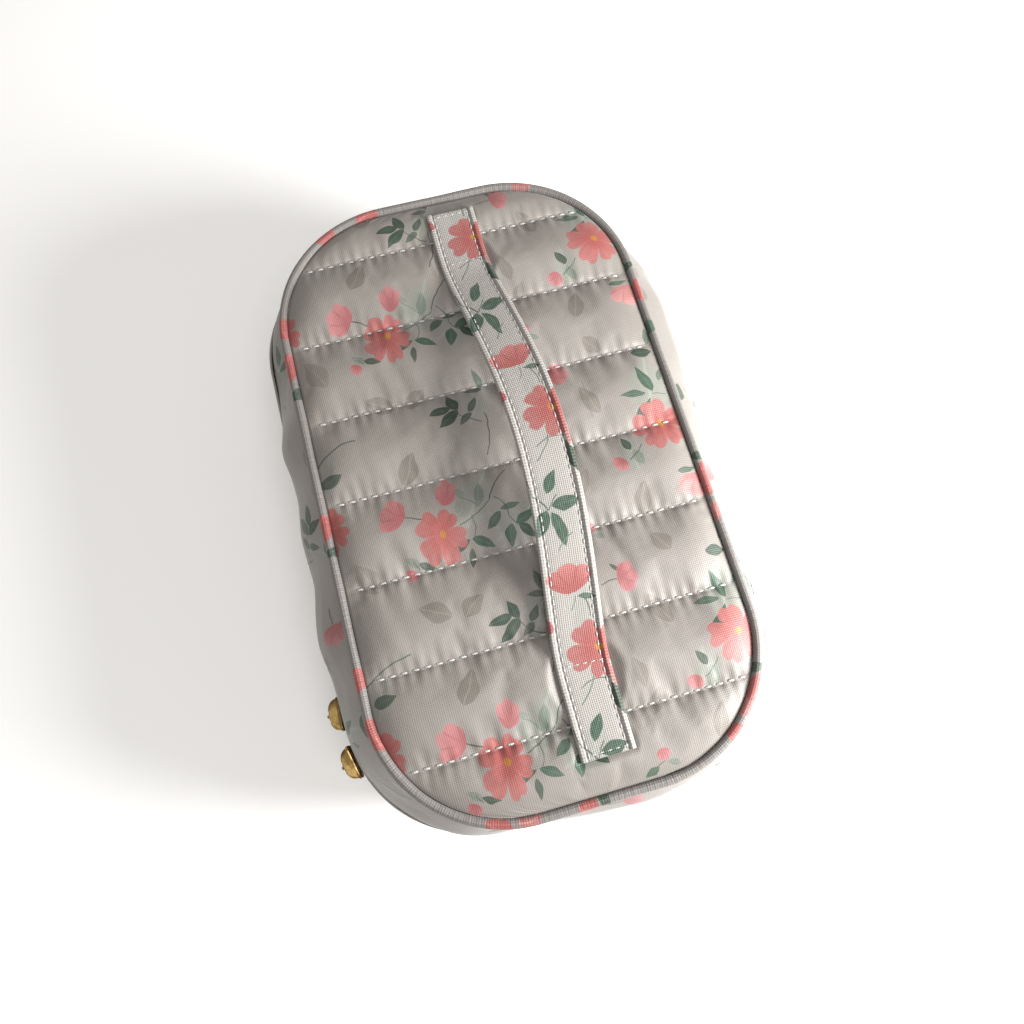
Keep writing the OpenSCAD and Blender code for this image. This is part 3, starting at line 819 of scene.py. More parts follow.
def sewn_down(points):
    """True where the lid's cloth is held: at its seam, under each stitch, and under the strap's ends."""
    x, y = points[..., 0], points[..., 1]
    to_row = np.min([np.abs(y - r) for r in ROW_Y], axis=0)
    to_stitch = np.abs(x - STITCH * np.round(x / STITCH))
    mid, under = strap_at(y)
    strapped = (np.abs(x - mid) < STRAP_W / 2) & (under < STRAP_LOW[2] + 0.5)
    strapped &= (y > STRAP_LOW[1]) & (y < STRAP_HIGH[1])
    stitched = (to_row < 0.1) & (to_stitch < 1.0)
    return stitched | (edge_distance(x, y) < 0.5) | strapped


def settle(points, held, frames=18, pressure=3.5, spare=0.0025, most=1.5):
    """Where a sheet of cloth comes to rest. It is a little larger than its outline, the wadding pushes
    it outwards, held points stay put, and no point may move further than most."""
    rows, cols = points.shape[:2]
    mesh = bpy.data.meshes.new("settling")
    mesh.from_pydata((points.reshape(-1, 3) * MM).tolist(), [], lattice(rows, cols)[0].tolist())
    sheet = bpy.data.objects.new("settling", mesh)
    bpy.context.scene.collection.objects.link(sheet)
    sewn = sheet.vertex_groups.new(name="sewn")
    sewn.add(np.flatnonzero(held).tolist(), 1.0, "REPLACE")
    cloth = sheet.modifiers.new("cloth", "CLOTH")
    cloth.point_cache.frame_start, cloth.point_cache.frame_end = 1, frames
    fabric = cloth.settings
    fabric.quality, fabric.mass, fabric.vertex_group_mass = 4, 0.002, "sewn"
    fabric.tension_stiffness = fabric.compression_stiffness = 6
    fabric.shear_stiffness, fabric.bending_stiffness = 2, 3
    fabric.use_pressure, fabric.uniform_pressure_force = True, pressure
    fabric.shrink_min = -spare
    fabric.effector_weights.gravity = 0
    cloth.collision_settings.use_collision = False
    for frame_number in range(1, frames + 1):
        bpy.context.scene.frame_set(frame_number)
    seen = sheet.evaluated_get(bpy.context.evaluated_depsgraph_get())
    rest = np.empty(rows * cols * 3, np.float32)
    seen.data.vertices.foreach_get("co", rest)
    bpy.data.objects.remove(sheet)
    bpy.context.scene.frame_set(1)
    move = rest.reshape(points.shape) / MM - points
    far = np.linalg.norm(move, axis=-1, keepdims=True)
    return move * np.minimum(1, most / np.maximum(far, 1e-6))


def refined(grid):
    """A grid with a point put between each two, on a smooth curve through its neighbours."""
    for _ in range(2):
        wide = np.concatenate([grid[:1], grid, grid[-1:]])
        between = (9 * (wide[1:-2] + wide[2:-1]) - wide[:-3] - wide[3:]) / 16
        out = np.empty((2 * len(grid) - 1, *grid.shape[1:]))
        out[::2], out[1::2] = grid, between
        grid = out.swapaxes(0, 1)
    return grid


def lid_quilt(material):
    """The lid's cloth over its wadding, quilted, settled by a cloth simulation, and closed below."""
    cloth = quilt_grid()
    coarse = cloth[::2, ::2]
    cloth = cloth + refined(settle(coarse, sewn_down(coarse)))
    cloth[..., 2] = press_under_strap(cloth[..., 0], cloth[..., 1], cloth[..., 2])
    rows, cols = cloth.shape[:2]
    top = cloth.reshape(-1, 3)
    faces, _ = lattice(rows, cols)
    border = border_of(rows, cols)
    under = top[border].copy()
    # its underside stays clear of the lining's own waves
    under[:, 2] = span("lid_panel_lining")[1][2] + 1.0
    below = len(top) + np.arange(len(border))
    sides = [[border[i], below[i], below[(i + 1) % len(border)], border[(i + 1) % len(border)]]
             for i in range(len(border))]
    points = np.vstack([top, under])
    every = faces.tolist() + sides + [below[::-1].tolist()]
    # the cloth was cut a little off the print's own line
    corners = points[np.concatenate([np.array(face) for face in every])]
    uv = np.stack([corners[:, 0] + 0.02 * corners[:, 1], corners[:, 1]], -1)
    obj = piece("lid_quilt", points, every, material, "lid", uv,
                ("lid_panel_cover", "lid_wadding"))
    return obj


def lid_stitching(material):
    """Lockstitches along the quilted rows, a little aslant."""
    runs, reach, up = [], 1.3, 0.13
    for y in ROW_Y:
        half = half_width(y) - 1.2
        for k in range(int(2 * half / STITCH)):
            x = STITCH * round((-half + STITCH * (k + 0.5)) / STITCH)
            ends = np.array([x - 1.35, x + 1.35])
            row = np.full(2, y)
            z = press_under_strap(ends, row, EDGE_Z + quilt_height(ends, row))
            slant = 0.16 + 0.10 * float(soft_noise(x, y, 3, 9, 47))
            runs.append(((x - reach, y + slant, z[0] + up), (x + reach, y - slant, z[1] + up), (0, 0, 1)))
    return stitches("lid_stitching", runs, "lid", material, ("lid_quilting_thread",), 0.38)


# ---------------------------------------------------------------- walls

WALL_COLS = 720
LINING_COLS = 360
WALL_T = 2.7
LINING_IN = 3.3  # from the wall's face in to the lining
WALL_PRINT_SHIFT = 35  # where on the print the walls' cloth was cut


# Soft lumps of the walls: (x, y, reach, how far out above the zipper, and below it)
LUMPS = [
    (80, 52, 25, 5.2, 2.0), (80, 5, 34, 3.6, 1.4), (80, -82, 17, -2.6, -1.6), (12, -119, 30, 4.2, 2.4),
    (-64, -104, 18, -2.8, -2.2), (-80, -65, 10, 1.4, 0.4), (-80, -37, 16, 5.2, 3.3),
    (-80, 0, 11, 3.2, 2.8), (-80, 17, 5, -1.4, -1.8), (-80, 34, 11, 4.2, 3.3),
    (-78, 72, 21, -6.0, -4.5),
]


def wall_lumps(x, y, z, z_low, z_high):
    """How far the soft wall stands out or in at height z, between its two sewn edges."""
    above = z_low > ZIP_Z
    zip_side = (z - z_low) if above else (z_high - z)
    seam_side = (z_high - z) if above else (z - z_low)
    share = (0.22 + 0.78 * min(1, zip_side / 8) ** 0.8) * min(1, seam_side / (10 if above else 26)) ** 0.8
    out = sum((up if above else down) * np.exp(-((x - a) ** 2 + (y - b) ** 2) / reach ** 2)
              for a, b, reach, up, down in LUMPS)
    return out * share


def wall(name, z_low, z_high, body, material, stands_for):
    """A padded side wall: cloth outside, foam inside, closed all round."""
    t, marks = even(WALL_COLS + 1)
    t = t[:-1]
    flat, _ = rim(t, 0.6)
    sections, across = [], []
    for z in np.linspace(z_low, z_high, 27):
        ends = np.minimum(1, np.minimum(z - z_low, z_high - z) / 3.0)
        from_seam = abs(z - (EDGE_Z if z > ZIP_Z else BASE_SEAM_Z))
        folds = 0.55 * soft_noise(marks[:-1] + 0.4 * z, z, 13, 11, 11)
        folds += 0.45 * math.exp(-from_seam / 7) * soft_noise(marks[:-1], z, 4.5, 20, 13)
        roll = 0.5 * math.sqrt(max(0.0, 1 - (1 - ends) ** 2)) - 0.5
        bulge = wall_lumps(flat[:, 0], flat[:, 1], z, z_low, z_high)
        sections.append((swell(z), roll + ends * folds + bulge, z))
        across.append(z)
    for z in np.linspace(z_high - 0.6, z_low + 0.6, 9):
        bulge = wall_lumps(flat[:, 0], flat[:, 1], z, z_low, z_high)
        sections.append((swell(z), -WALL_T + np.minimum(bulge, 0), z))
        across.append(2 * z_high - z)
    points, faces, uv = ring_of(sections, t, marks, np.array(across))
    uv[..., 1] += WALL_PRINT_SHIFT
    obj = piece(name, points, faces, material, body, uv, stands_for)
    return obj


def wall_lining(name, z_low, z_high, body, material, stands_for):
    """The lining of a side wall, a little slack."""
    t, marks = even(LINING_COLS + 1)
    t = t[:-1]
    flat, _ = rim(t, 0.6)
    sections = []
    heights = np.linspace(z_low, z_high, 15)
    for z in heights:
        free = math.sin(math.pi * (z - z_low) / (z_high - z_low))
        slack = 0.35 * soft_noise(marks[:-1], z, 17, 14, 17) * free
        inward = np.minimum(wall_lumps(flat[:, 0], flat[:, 1], z, z_low, z_high), 0)
        sections.append((swell(z), -LINING_IN + inward + slack, z))
    points, faces, uv = ring_of(sections, t, marks, heights, tube=False)
    obj = piece(name, points, faces, material, body, uv, stands_for)
    return obj


def piping(name, z, body, material, stands_for):
    """A covered cord sewn in round the bag at height z, just outside the seam outline."""
    t, marks = even(WALL_COLS + 1, 0.0)
    t = t[:-1]
    sides = 14
    turn = 2 * np.pi * np.arange(sides) / sides
    thick = CORD_R * (1 + 0.12 * 0.4 * soft_noise(marks[:-1], 0, 11, 1, 19))
    sections = [(0.0, CORD_OUT + thick * math.cos(a), z + thick * math.sin(a)) for a in turn]
    points, faces, uv = ring_of(sections, t, marks, turn * CORD_R)
    return piece(name, points, faces[:, ::-1], material, body, uv[:, ::-1], stands_for)


# ---------------------------------------------------------------- zipper

# Places along the outline, as rim counts them, where the zipper starts and stops beside the hinge
ZIP_START, ZIP_STOP = -0.045, 7.045
COIL_PITCH, COIL_WIRE, COIL_DEEP = 1.5, 0.3, 0.95


def tape(name, node, body, material):
    """A strip of zipper tape, 0.7 thick."""
    z_low, z_high = (corner[2] for corner in span(node))
    t, marks = even(600, 1.0, ZIP_START, ZIP_STOP)
    z_mid = (z_low + z_high) / 2
    outside = [(-0.8, z_low), (-0.75, z_mid), (-0.8, z_high)]
    inside = [(-1.5, z_high), (-1.5, z_mid), (-1.5, z_low)]
    sections = [(1.0, d, z) for d, z in outside + inside]
    across = np.array([0, 1.7, 3.4, 4.1, 5.8, 7.5])
    points, faces, uv = ring_of(sections, t, marks, across, ring=False)
    return piece(name, points, faces, material, body, uv, (node,))


def coil(name, z_low, z_high, body, material, stands_for, phase):
    """A nylon coil that runs along the tape's edge."""
    per_turn, sides = 9, 5
    length = even(9, 1.0, ZIP_START, ZIP_STOP)[1][-1]
    steps = int(length / COIL_PITCH * per_turn)
    t, _ = even(steps, 1.0, ZIP_START, ZIP_STOP)
    turn = 2 * np.pi * (np.arange(steps) / per_turn + phase)
    z_mid, high = (z_low + z_high) / 2, (z_high - z_low) / 2 - COIL_WIRE
    deep = COIL_DEEP - COIL_WIRE
    ahead = rim(t + 0.0005, 1.0)[0] - rim(t, 1.0)[0]
    along = ahead / np.linalg.norm(ahead, axis=1)[:, None]
    points = []
    for j in range(sides):
        a = 2 * np.pi * j / sides
        grow = 1 + COIL_WIRE * math.cos(a) / high
        flat, _ = rim(t, 1.0, -COIL_INSET + deep * grow * np.cos(turn))
        flat = flat + along * COIL_WIRE * math.sin(a)
        points.append(np.column_stack([flat, z_mid + high * grow * np.sin(turn)]))
    faces, _ = lattice(sides, steps, tube=True)
    return piece(name, points, faces, material, body, stands_for=stands_for)


def hinge_strip(material):
    """Doubled cloth that joins the lid to the base on the right."""
    low, high = span("hinge_panel_lower")[0], span("hinge_panel_upper")[1]
    rows, cols = 25, 60
    z = np.linspace(low[2], high[2], rows)[:, None] + np.zeros((1, cols))
    y = np.linspace(low[1], high[1], cols)[None, :] + np.zeros((rows, 1))
    x = (low[0] + high[0]) / 2 + 0.25 * soft_noise(y, z, 12, 6, 23)
    points = np.stack([x, y, z], -1)
    faces, corners = lattice(rows, cols)
    uv = np.stack([y[0][corners[..., 1]] + 200, z[:, 0][corners[..., 0]]], -1)
    obj = piece("hinge_strip", points, faces, material, None, uv,
                ("hinge_panel_lower", "hinge_panel_upper"))
    thicken(obj, 0.8, 0.0)
    bpy.context.view_layer.objects.active = obj
    bpy.ops.object.modifier_apply(modifier="thickness")
    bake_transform(obj)
    return obj


def end_stop(name, material):
    """A folded cloth tab over the zipper's end."""
    low, high = span(name)
    mid, half = (low + high) / 2, (high - low) / 2
    rows, cols = 12, 16
    points = []
    for i in range(rows):
        v = -1 + 2 * i / (rows - 1)
        pinch = 1 - 0.25 * abs(v) ** 6
        for j in range(cols):
            x, z = squircle(2 * math.pi * j / cols, 0.4)
            points.append(mid + half * np.array([x * pinch, v, z]))
    faces, _ = lattice(rows, cols, ring=True)
    faces = faces.tolist() + [list(range(cols))[::-1], list(range((rows - 1) * cols, rows * cols))]
    return piece(name + "_tab", points, faces, material, "base", stands_for=(name,))


# ---------------------------------------------------------------- strap handle


EDGE_R = STRAP_T / 2
FACE_HALF = STRAP_W / 2 - 2.5 * EDGE_R + 0.15


def strap_line():
    """The strap's middle line: its points, the ways across and up, and the lengths along it."""
    y = np.linspace(STRAP_LOW[1], STRAP_HIGH[1], 260)
    mid, under = strap_at(y)
    way = np.stack([np.gradient(mid, y), np.ones_like(y), np.gradient(under, y)], -1)
    way /= np.linalg.norm(way, axis=1)[:, None]
    side = np.cross(way, (0, 0, 1.0))
    side /= np.linalg.norm(side, axis=1)[:, None]
    centre = np.stack([mid, y, under + STRAP_T / 2], -1)
    length = np.r_[0, np.cumsum(np.linalg.norm(np.diff(centre, axis=0), axis=1))]
    return centre, side, np.cross(side, way), length


def on_strap(line, along, offset, height=0.30):
    """A point on the strap's face, along its length and across it, and the way up there."""
    length = line[3]
    centre, side, up = (np.array([np.interp(along, length, way[:, k]) for k in range(3)])
                        for way in line[:3])
    return centre + offset * side + height * up, up


def strap_part(name, loop, line, cloth, stands_for):
    """A part of the strap: a loop of (across, up) points carried along its line, with flat ends."""
    centre, side, up, _ = line
    loop, y = np.array(loop, float), centre[:, 1]
    points = centre[None] + loop[:, 0, None, None] * side[None] + loop[:, 1, None, None] * up[None]
    faces, corners = lattice(len(loop), len(y), tube=True)
    across = np.append(loop[:, 0], loop[0, 0])
    uv = np.stack([across[corners[..., 0]], y[corners[..., 1]]], -1).reshape(-1, 2)
    first = np.arange(len(loop)) * len(y)
    ends = [first.tolist(), (first + len(y) - 1)[::-1].tolist()]
    uv = np.vstack([uv, np.repeat([[0.0, y[0]]], 2 * len(loop), 0)])
    return piece(name, points, faces.tolist() + ends, cloth, "lid", uv, stands_for)


def strap(line, face_cloth, edge_cloth):
    """The strap: a woven face and back between two rolled edges."""
    across = FACE_HALF * np.sin(np.linspace(-np.pi / 2, np.pi / 2, 17))
    dish = 0.45 - 0.42 * (np.abs(across) / FACE_HALF) ** 8
    loop = np.vstack([np.stack([across, dish], -1), np.stack([across, -dish], -1)[::-1]])
    nodes = ("handle_face", "handle_core", "handle_back")
    face = strap_part("strap", loop, line, face_cloth, nodes)
    turn = 2 * np.pi * np.arange(14) / 14
    for sign, word in ((-1, "left"), (1, "right")):
        middle = sign * (STRAP_W / 2 - 1.25 * EDGE_R)
        loop = [(middle + 1.25 * EDGE_R * math.cos(a), EDGE_R * math.sin(a)) for a in turn]
        strap_part("strap_edge_" + word, loop, line, edge_cloth, ("handle_edge_" + word,))


def strap_stitching(line, thread):
    """A line of stitches along each edge, and rows across where the ends are sewn to the lid."""
    length = line[3]
    runs, pitch = [], 3.1
    for sign in (-1, 1):
        offset = sign * (FACE_HALF - 0.75)
        for k in range(int(length[-1] / pitch)):
            start, up = on_strap(line, pitch * k + 0.5, offset)
            end, _ = on_strap(line, pitch * k + 2.7, offset)
            runs.append((start, end, up))
    y = line[0][:, 1]
    near = np.interp(STRAP_LOW[1] + SEWN_NEAR, y, length)
    far = np.interp(STRAP_HIGH[1] - SEWN_FAR, y, length)
    for along in (1.6, near - 1.0, far + 1.0, length[-1] - 1.6):
        for k in range(5):
            start, up = on_strap(line, along, -FACE_HALF + 1.3 + 2.7 * k)
            end, _ = on_strap(line, along, -FACE_HALF + 3.4 + 2.7 * k)
            runs.append((start, end, up))
    nodes = ("handle_stitching_far", "handle_stitching_near")
    stitches("strap_stitching", runs, "lid", thread, nodes, 0.26)


def strap_patch(name, material):
    """The square of firm cloth inside the lid that a strap end is sewn to."""
    low, high = span(name)
    rows, cols = 15, 15
    u = np.linspace(-1, 1, rows)[:, None] + np.zeros((1, cols))
    v = np.linspace(-1, 1, cols)[None, :] + np.zeros((rows, 1))
    mid, half = (low + high) / 2, (high - low) / 2
    soft = 1 - 0.10 * (np.abs(u) ** 8 + np.abs(v) ** 8) / 2
    points = np.stack([mid[0] + u * half[0] * soft, mid[1] + v * half[1] * soft,
                       mid[2] + 0.15 * soft_noise(u * 9, v * 9, 6, 6, 29)], -1)
    faces, _ = lattice(rows, cols)
    obj = piece(name + "_cloth", points, faces[:, ::-1], material, "lid",
                stands_for=(name,))
    thicken(obj, 0.8, 0.0)
    return obj


# ---------------------------------------------------------------- linings and base


def panel_grid(rows, cols, inset):
    """Points that fill the panel's outline, drawn in by inset."""
    y = np.linspace(-HALF_L + inset, HALF_L - inset, rows)[:, None] + np.zeros((1, cols))
    reach = half_width(np.abs(y) * HALF_L / (HALF_L - inset)) - inset
    return reach * np.linspace(-1, 1, cols)[None, :], y


def panel_sheet(name, z, inset, body, material, stands_for, seed):
    """A lining panel, a little slack between its seams, that faces the inside of the bag."""
    rows, cols = 90, 60
    x, y = panel_grid(rows, cols, inset)
    edge = np.clip(edge_distance(x, y) - inset, 0, None)
    waves = 0.45 * soft_noise(x, y, 26, 21, seed) + 0.15 * soft_noise(x, y, 7, 9, seed + 1)
    height = z + waves * np.minimum(edge / 10, 1)
    faces, _ = lattice(rows, cols)
    if body == "lid":
        faces = faces[:, ::-1]
    obj = piece(name, np.stack([x, y, height], -1), faces, material, body,
                stands_for=stands_for)
    thicken(obj, 0.5)
    return obj


def base_pad(material):
    """The base: cloth over wadding and a board, flat where it stands and rounded to its seam."""
    top_z = span("base_stiffener")[1][2]
    rows, cols = 110, 70
    x, y = panel_grid(rows, cols, 0.0)
    edge = np.clip(edge_distance(x, y), 0, None)
    lift = (BASE_SEAM_Z - 0.2) * (1 - np.minimum(edge / 9, 1)) ** 2.2
    under = 0.12 + lift + 0.10 * (1 + soft_noise(x, y, 31, 23, 31)) * np.minimum(edge / 12, 1)
    top = np.minimum(top_z, BASE_SEAM_Z + 1.2 + 1.1 * edge)
    low = np.stack([x, y, under], -1).reshape(-1, 3)
    high = np.stack([x, y, top], -1).reshape(-1, 3)
    faces, _ = lattice(rows, cols)
    border = border_of(rows, cols)
    n = len(low)
    after = np.roll(border, -1)
    sides = np.stack([after, border, border + n, after + n], -1)
    every = np.vstack([faces[:, ::-1], faces + n, sides])
    obj = piece("base_pad", np.vstack([low, high]), every, material, "base",
                stands_for=("base_panel_cover", "base_wadding", "base_stiffener"))
    return obj


def binding_ring(name, body, material):
    """A folded tape that covers the raw seam inside the bag's corner."""
    low, high = span(name)
    z_mid, half = (low[2] + high[2]) / 2, (high[2] - low[2]) / 2
    w = float(swell(z_mid))
    out = high[0] - mix(HALF_W, WAIST_W, w)
    t, marks = even(LINING_COLS + 1)
    t = t[:-1]
    turn = 2 * np.pi * np.arange(12) / 12
    sections = []
    for a in turn:
        flat, high_share = squircle(a, 0.6)
        d = out - 0.6 + 0.6 * flat + 0.12 * soft_noise(marks[:-1], 0, 8, 1, 37)
        sections.append((w, d, z_mid + half * high_share))
    points, faces, uv = ring_of(sections, t, marks, turn * half)
    return piece(name + "_tape", points, faces[:, ::-1], material, body, uv[:, ::-1], (name,))


# ---------------------------------------------------------------- sliders and pulls

GAP_HALF, PLATE_T, PLATE_H, SLIDER_L = 1.65, 1.1, 8.0, 12.5
BRIDGE_H, BRIDGE_T, BRIDGE_L = 4.0, 1.3, 9.5
BAR_X = -(GAP_HALF + PLATE_T + BRIDGE_H - BRIDGE_T / 2)


def slab(outline, thick, bevel, hole=None):
    """A flat plate in the x-y plane, centred on z = 0, with softened edges. Returns a bmesh."""
    work = bmesh.new()
    loops = [outline] + ([hole] if hole is not None else [])
    edges = []
    for loop in loops:
        ring = [work.verts.new((x, y, -thick / 2)) for x, y in loop]
        edges += [work.edges.new((ring[i], ring[(i + 1) % len(ring)])) for i in range(len(ring))]
    bmesh.ops.triangle_fill(work, edges=edges, use_beauty=True, use_dissolve=True)
    up = bmesh.ops.extrude_face_region(work, geom=work.faces[:])
    lifted = [v for v in up["geom"] if isinstance(v, bmesh.types.BMVert)]
    bmesh.ops.translate(work, verts=lifted, vec=(0, 0, thick))
    bmesh.ops.recalc_face_normals(work, faces=work.faces[:])
    sharp = [e for e in work.edges if len(e.link_faces) == 2 and e.calc_face_angle() > 1.0]
    bmesh.ops.bevel(work, geom=sharp, offset=bevel, segments=3, profile=0.6, affect="EDGES")
    return work


def rounded(width, height, radius, waist=0.0, steps=7):
    """Points of a rounded rectangle, drawn in by waist at its middle."""
    points = []
    for q, (sx, sy) in enumerate(((1, 1), (-1, 1), (-1, -1), (1, -1))):
        for k in range(steps):
            a = math.pi / 2 * (q + k / (steps - 1))
            points.append((sx * (width / 2 - radius) + radius * math.cos(a),
                           sy * (height / 2 - radius) + radius * math.sin(a)))
    return [(x * (1 - waist * (1 - (2 * y / height) ** 2)), y) for x, y in points]


def to_object(work, name, place, material, body, stands_for):
    """Turns a bmesh in a slider's own frame into a piece."""
    work.transform(place)
    bmesh.ops.recalc_face_normals(work, faces=work.faces[:])
    work.verts.ensure_lookup_table()
    points = [tuple(v.co) for v in work.verts]
    work.verts.index_update()
    faces = [[v.index for v in f.verts] for f in work.faces]
    work.free()
    obj = piece(name, points, faces, material, body, stands_for=stands_for)
    flat = obj.modifiers.new("shading", "WEIGHTED_NORMAL")
    flat.keep_sharp = True
    return obj


def joined(parts):
    """One bmesh from several."""
    whole = bmesh.new()
    for part in parts:
        mesh = bpy.data.meshes.new("part")
        part.to_mesh(mesh)
        part.free()
        whole.from_mesh(mesh)
        bpy.data.meshes.remove(mesh)
    return whole


def swept(centres, across, sizes, sides=16, power=0.55, closed=False):
    """A bmesh tube with a rounded section: sizes are its half width and half thickness."""
    centres, across = np.array(centres, float), np.array(across, float)
    if closed:
        way = np.roll(centres, -1, 0) - np.roll(centres, 1, 0)
    else:
        way = np.gradient(centres, axis=0)
    work, rings = bmesh.new(), []
    for centre, forward, (wide, thick) in zip(centres, way, sizes):
        normal = np.cross(forward, across)
        normal /= np.linalg.norm(normal)
        ring = []
        for j in range(sides):
            c, s = squircle(2 * math.pi * (j + 0.5) / sides, power)
            ring.append(work.verts.new(centre + wide * c * across + thick * s * normal))
        rings.append(ring)
    pairs = list(zip(rings, rings[1:])) + ([(rings[-1], rings[0])] if closed else [])
    for a, b in pairs:
        for j in range(sides):
            work.faces.new((a[j], a[(j + 1) % sides], b[(j + 1) % sides], b[j]))
    if not closed:
        work.faces.new(rings[0][::-1])
        work.faces.new(rings[-1])
    return work


def slider_plates():
    """The two plates, the lips along their lower edges, and the wedge that parts the chain."""
    taper = [(z * (0.80 + 0.20 * min(1, max(0, (y + 5) / 4))), y)
             for z, y in rounded(PLATE_H, SLIDER_L, 1.8)]
    parts = []
    for sign in (-1, 1):
        # a plate is drawn in (z, y) and stood on edge
        plate = slab(taper, PLATE_T, 0.35)
        away = sign * (GAP_HALF + PLATE_T / 2)
        plate.transform(Matrix(((0, 0, 1, away), (0, 1, 0, 0), (1, 0, 0, 0), (0, 0, 0, 1))))
        lip = slab(rounded(0.75, SLIDER_L - 3.4, 0.3), 0.9, 0.2)
        lip.transform(Matrix.Translation((sign * (GAP_HALF - 0.2), -0.4, -PLATE_H / 2 + 0.62)))
        parts += [plate, lip]
    wedge = slab([(-1.9, 1.2), (0, -1.1), (1.9, 1.2), (0.0, 1.5)], 0.5, 0.1)
    wedge.transform(Matrix.Translation((0, SLIDER_L / 2 - 2.0, 0)))
    return joined(parts + [wedge])


def slider_bridge():
    """A domed bridge, slim only at the middle of its crest, where the pull turns on it."""
    steps = np.linspace(0, math.pi, 61)
    foot, reach = GAP_HALF + PLATE_T, BRIDGE_L / 2
    arch, sizes, crest = [], [], []
    for step in steps:
        rise, along = math.sin(step) ** 0.6, squircle(step, 0.75)[0]
        y = -reach * along
        body = float(np.clip((abs(y) - 0.85) / 0.8, 0, 1))
        body = body * body * (3 - 2 * body)
        thick = mix(0.42, 1.25, body)
        arch.append((thick - (foot + (BRIDGE_H - 0.05) * rise), y, 0))
        sizes.append((mix(0.42, 1.75, body), thick))
        crest.append((-foot - (BRIDGE_H - 0.5) * rise, -(reach - 0.3) * along))
    # a thin hood closes the arch above the pull's eye
    feet = (-foot + 0.2, -reach + 0.5), (-foot + 0.2, reach - 0.5)
    hood = slab([feet[0]] + crest[2:-2] + [feet[1]], 0.7, 0.25)
    hood.transform(Matrix.Translation((0, 0, 1.65)))
    return joined([swept(arch, (0, 0, 1), sizes, power=0.8), hood])


def pull_tab():
    """The pull, hanging along -z from its eye, its flat side facing outside."""
    turn = np.linspace(0, 2 * math.pi, 33)[:-1]
    eye_r, hole_r, tab_l = 0.88, 1.45, 20.0
    circle = [(BAR_X + eye_r * math.cos(a), 0, eye_r * math.sin(a)) for a in turn]
    eye = swept(circle, (0, 1, 0), [(0.6, 0.30)] * len(turn), closed=True)
    hole = [(hole_r * math.cos(a), -tab_l / 2 + 4 + hole_r * math.sin(a)) for a in turn[::-1]]
    tab = slab(rounded(6.5, tab_l, 1.7, waist=0.16), 1.2, 0.3, hole)
    tab.transform(Matrix(((0, 0, 1, BAR_X), (1, 0, 0, 0), (0, 1, 0, -24 + tab_l / 2), (0, 0, 0, 1))))
    down = [(BAR_X, 0, -1.3), (BAR_X, 0, -3.0), (BAR_X, 0, -4.4)]
    neck = swept(down, (0, 1, 0), [(0.6, 0.45), (1.0, 0.6), (2.2, 0.55)])
    return joined([eye, tab, neck])


def slider(letter, nose, brass):
    """One slider and its pull. In its own frame the chain runs along y, and outside is -x."""
    bar, axis = joint("pull_" + letter + "_swing")
    side = 1 if axis[1] > 0 else -1
    y_way = axis * nose * side
    x_way = np.array([abs(axis[1]), -axis[0] * side, 0])
    place = Matrix(np.column_stack([x_way, y_way, (0, 0, 1), bar - BAR_X * x_way]).tolist() + [[0, 0, 0, 1]])
    body = "slider_" + letter
    to_object(slider_plates(), "slider_plates_" + letter, place, brass, body, ("slider_body_" + letter,))
    to_object(slider_bridge(), "slider_arch_" + letter, place, brass, body, ("slider_bridge_" + letter,))
    pull = "pull_" + letter
    to_object(pull_tab(), "pull_tab_" + letter, place, brass, pull, (pull,))


# ---------------------------------------------------------------- materials


def thread_material():
    """Pale twisted thread."""
    material, net, shader = new_material("thread", 0.38, 0.2, 0.55)
    at = print_coordinates(net)
    x, y, _ = net.split(at)
    twist = net.sine(net.times_plus(x, 9.0, net.times(y, 5.0)))
    tone = net.ease(twist, -1, 1, 0.86, 1.0)
    net.put(shader.inputs["Base Color"], net.blend(1.0, THREAD, net.grey(tone), "MULTIPLY"))
    add_bump(net, shader, twist, 0.08, 0.5)
    return material


def brass_material():
    """Antique brass: rubbed bright in places and brown in others."""
    material, net, shader = new_material("antique_brass", 0.3, 0.0, 0.5)
    shader.inputs["Metallic"].default_value = 1.0
    at = net.add("ShaderNodeTexCoord").outputs["Object"]
    worn = net.noise(at, 230, 2.0)[0]
    tone = net.blend(net.ease(worn, 0.42, 0.62), BRASS_BROWN, BRASS_BRIGHT)
    net.put(shader.inputs["Base Color"], tone)
    net.put(shader.inputs["Roughness"], net.ease(worn, 0.35, 0.65, 0.48, 0.24))
    add_bump(net, shader, net.noise(at, 700, 1.0)[0], 0.04, 0.25)
    return material


def coil_material():
    """The zipper's shiny nylon coil."""
    material, net, shader = new_material("nylon_coil", 0.32, 0.0, 0.5)
    at = net.add("ShaderNodeTexCoord").outputs["Object"]
    tone = net.blend(net.noise(at, 90, 2.0)[0], NYLON_DARK, NYLON_LIGHT)
    net.put(shader.inputs["Base Color"], tone)
    add_bump(net, shader, net.noise(at, 2500, 2.0)[0], 0.02, 0.3)
    return material


# ---------------------------------------------------------------- assembly

make_camera()
make_stage()
leaf_group()
flower_group()
cup_group()
stem_group()
print_group("print_main", (-70, 70, -34, 44), GROUND, LEAVES, STEMS, CUPS, FLOWERS)
print_group("print_strap", (-12, 12, -38, 42), CREAM, STRAP_LEAVES, STRAP_STEMS, STRAP_CUPS, STRAP_FLOWERS)
piping_print()

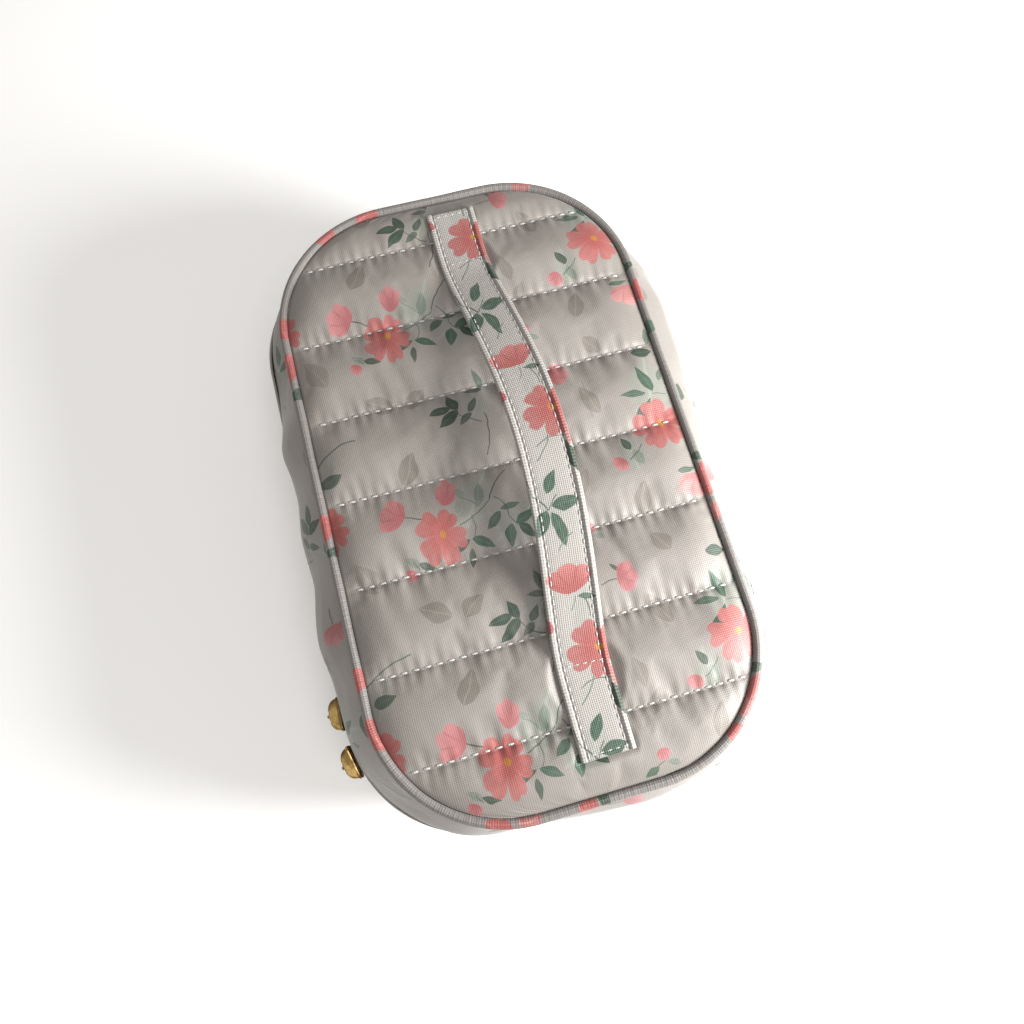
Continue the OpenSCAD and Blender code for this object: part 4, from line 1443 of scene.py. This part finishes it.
# name, colour or print, thread pitch, roughness, sheen, relief, thread tone, gather
print_cloth = cloth_material("print_cloth", "print_main", 0.7, 0.5, 0.14, 0.11, 0.09)
piping_cloth = cloth_material("piping_cloth", "print_piping", 0.8, 0.55, 0.12, 0.20, 0.24, 2.4)
strap_cloth = cloth_material("strap_cloth", "print_strap", 0.7, 0.7, 0.12, 0.28, 0.30)
strap_edge = cloth_material("strap_edge", "print_strap", 1.1, 0.6, 0.12, 0.40, 0.40)
lining_cloth = cloth_material("lining_cloth", LINING, 0.5, 0.5, 0.2, 0.08)
zipper_cloth = cloth_material("zipper_cloth", TAPE, 0.8, 0.65, 0.1, 0.2)
thread = thread_material()
brass = brass_material()
nylon = coil_material()

lid_quilt(print_cloth)
lid_stitching(thread)
piping("lid_piping_cord", EDGE_Z, "lid", piping_cloth, ("lid_piping",))
piping("base_piping_cord", BASE_SEAM_Z, "base", piping_cloth, ("base_piping",))
wall("lid_wall", LID_GUSSET_LOW, EDGE_Z - 1.2, "lid", print_cloth, ("lid_gusset", "lid_gusset_foam"))
wall("base_wall", BASE_SEAM_Z + 1.2, GUSSET_TOP, "base", print_cloth, ("base_gusset", "base_gusset_foam"))
low, high = LID_GUSSET_LOW + 0.1, span("lid_gusset_lining")[1][2] + 0.4
wall_lining("lid_wall_lining", low, high, "lid", lining_cloth, ["lid_gusset_lining"])
low, high = span("base_gusset_lining")[0][2], GUSSET_TOP - 0.1
wall_lining("base_wall_lining", low, high, "base", lining_cloth, ["base_gusset_lining"])
height = span("lid_panel_lining")[0][2] + 0.3
panel_sheet("lid_lining", height, 2.8, "lid", lining_cloth, ("lid_panel_lining",), 41)
height = span("base_panel_lining")[1][2]
panel_sheet("base_lining", height, 4.0, "base", lining_cloth, ("base_panel_lining",), 43)
base_pad(print_cloth)
binding_ring("lid_seam_binding", "lid", lining_cloth)
binding_ring("base_seam_binding", "base", lining_cloth)
tape("tape_upper", "zipper_tape_upper", "lid", zipper_cloth)
tape("tape_lower", "zipper_tape_lower", "base", zipper_cloth)
coil("coil_upper", TEETH_UP_LOW[2], TEETH_UP_HIGH[2], "lid", nylon, ("zipper_teeth_upper",), 0.0)
coil("coil_lower", TEETH_LOW[2], TEETH_HIGH[2], "base", nylon, ("zipper_teeth_lower",), 0.5)
end_stop("zipper_end_stop_far", zipper_cloth)
end_stop("zipper_end_stop_near", zipper_cloth)
hinge_strip(print_cloth)
strap_middle = strap_line()
strap(strap_middle, strap_cloth, strap_edge)
strap_stitching(strap_middle, thread)
strap_patch("handle_patch_far", lining_cloth)
strap_patch("handle_patch_near", lining_cloth)
slider("a", -1, brass)
slider("b", 1, brass)
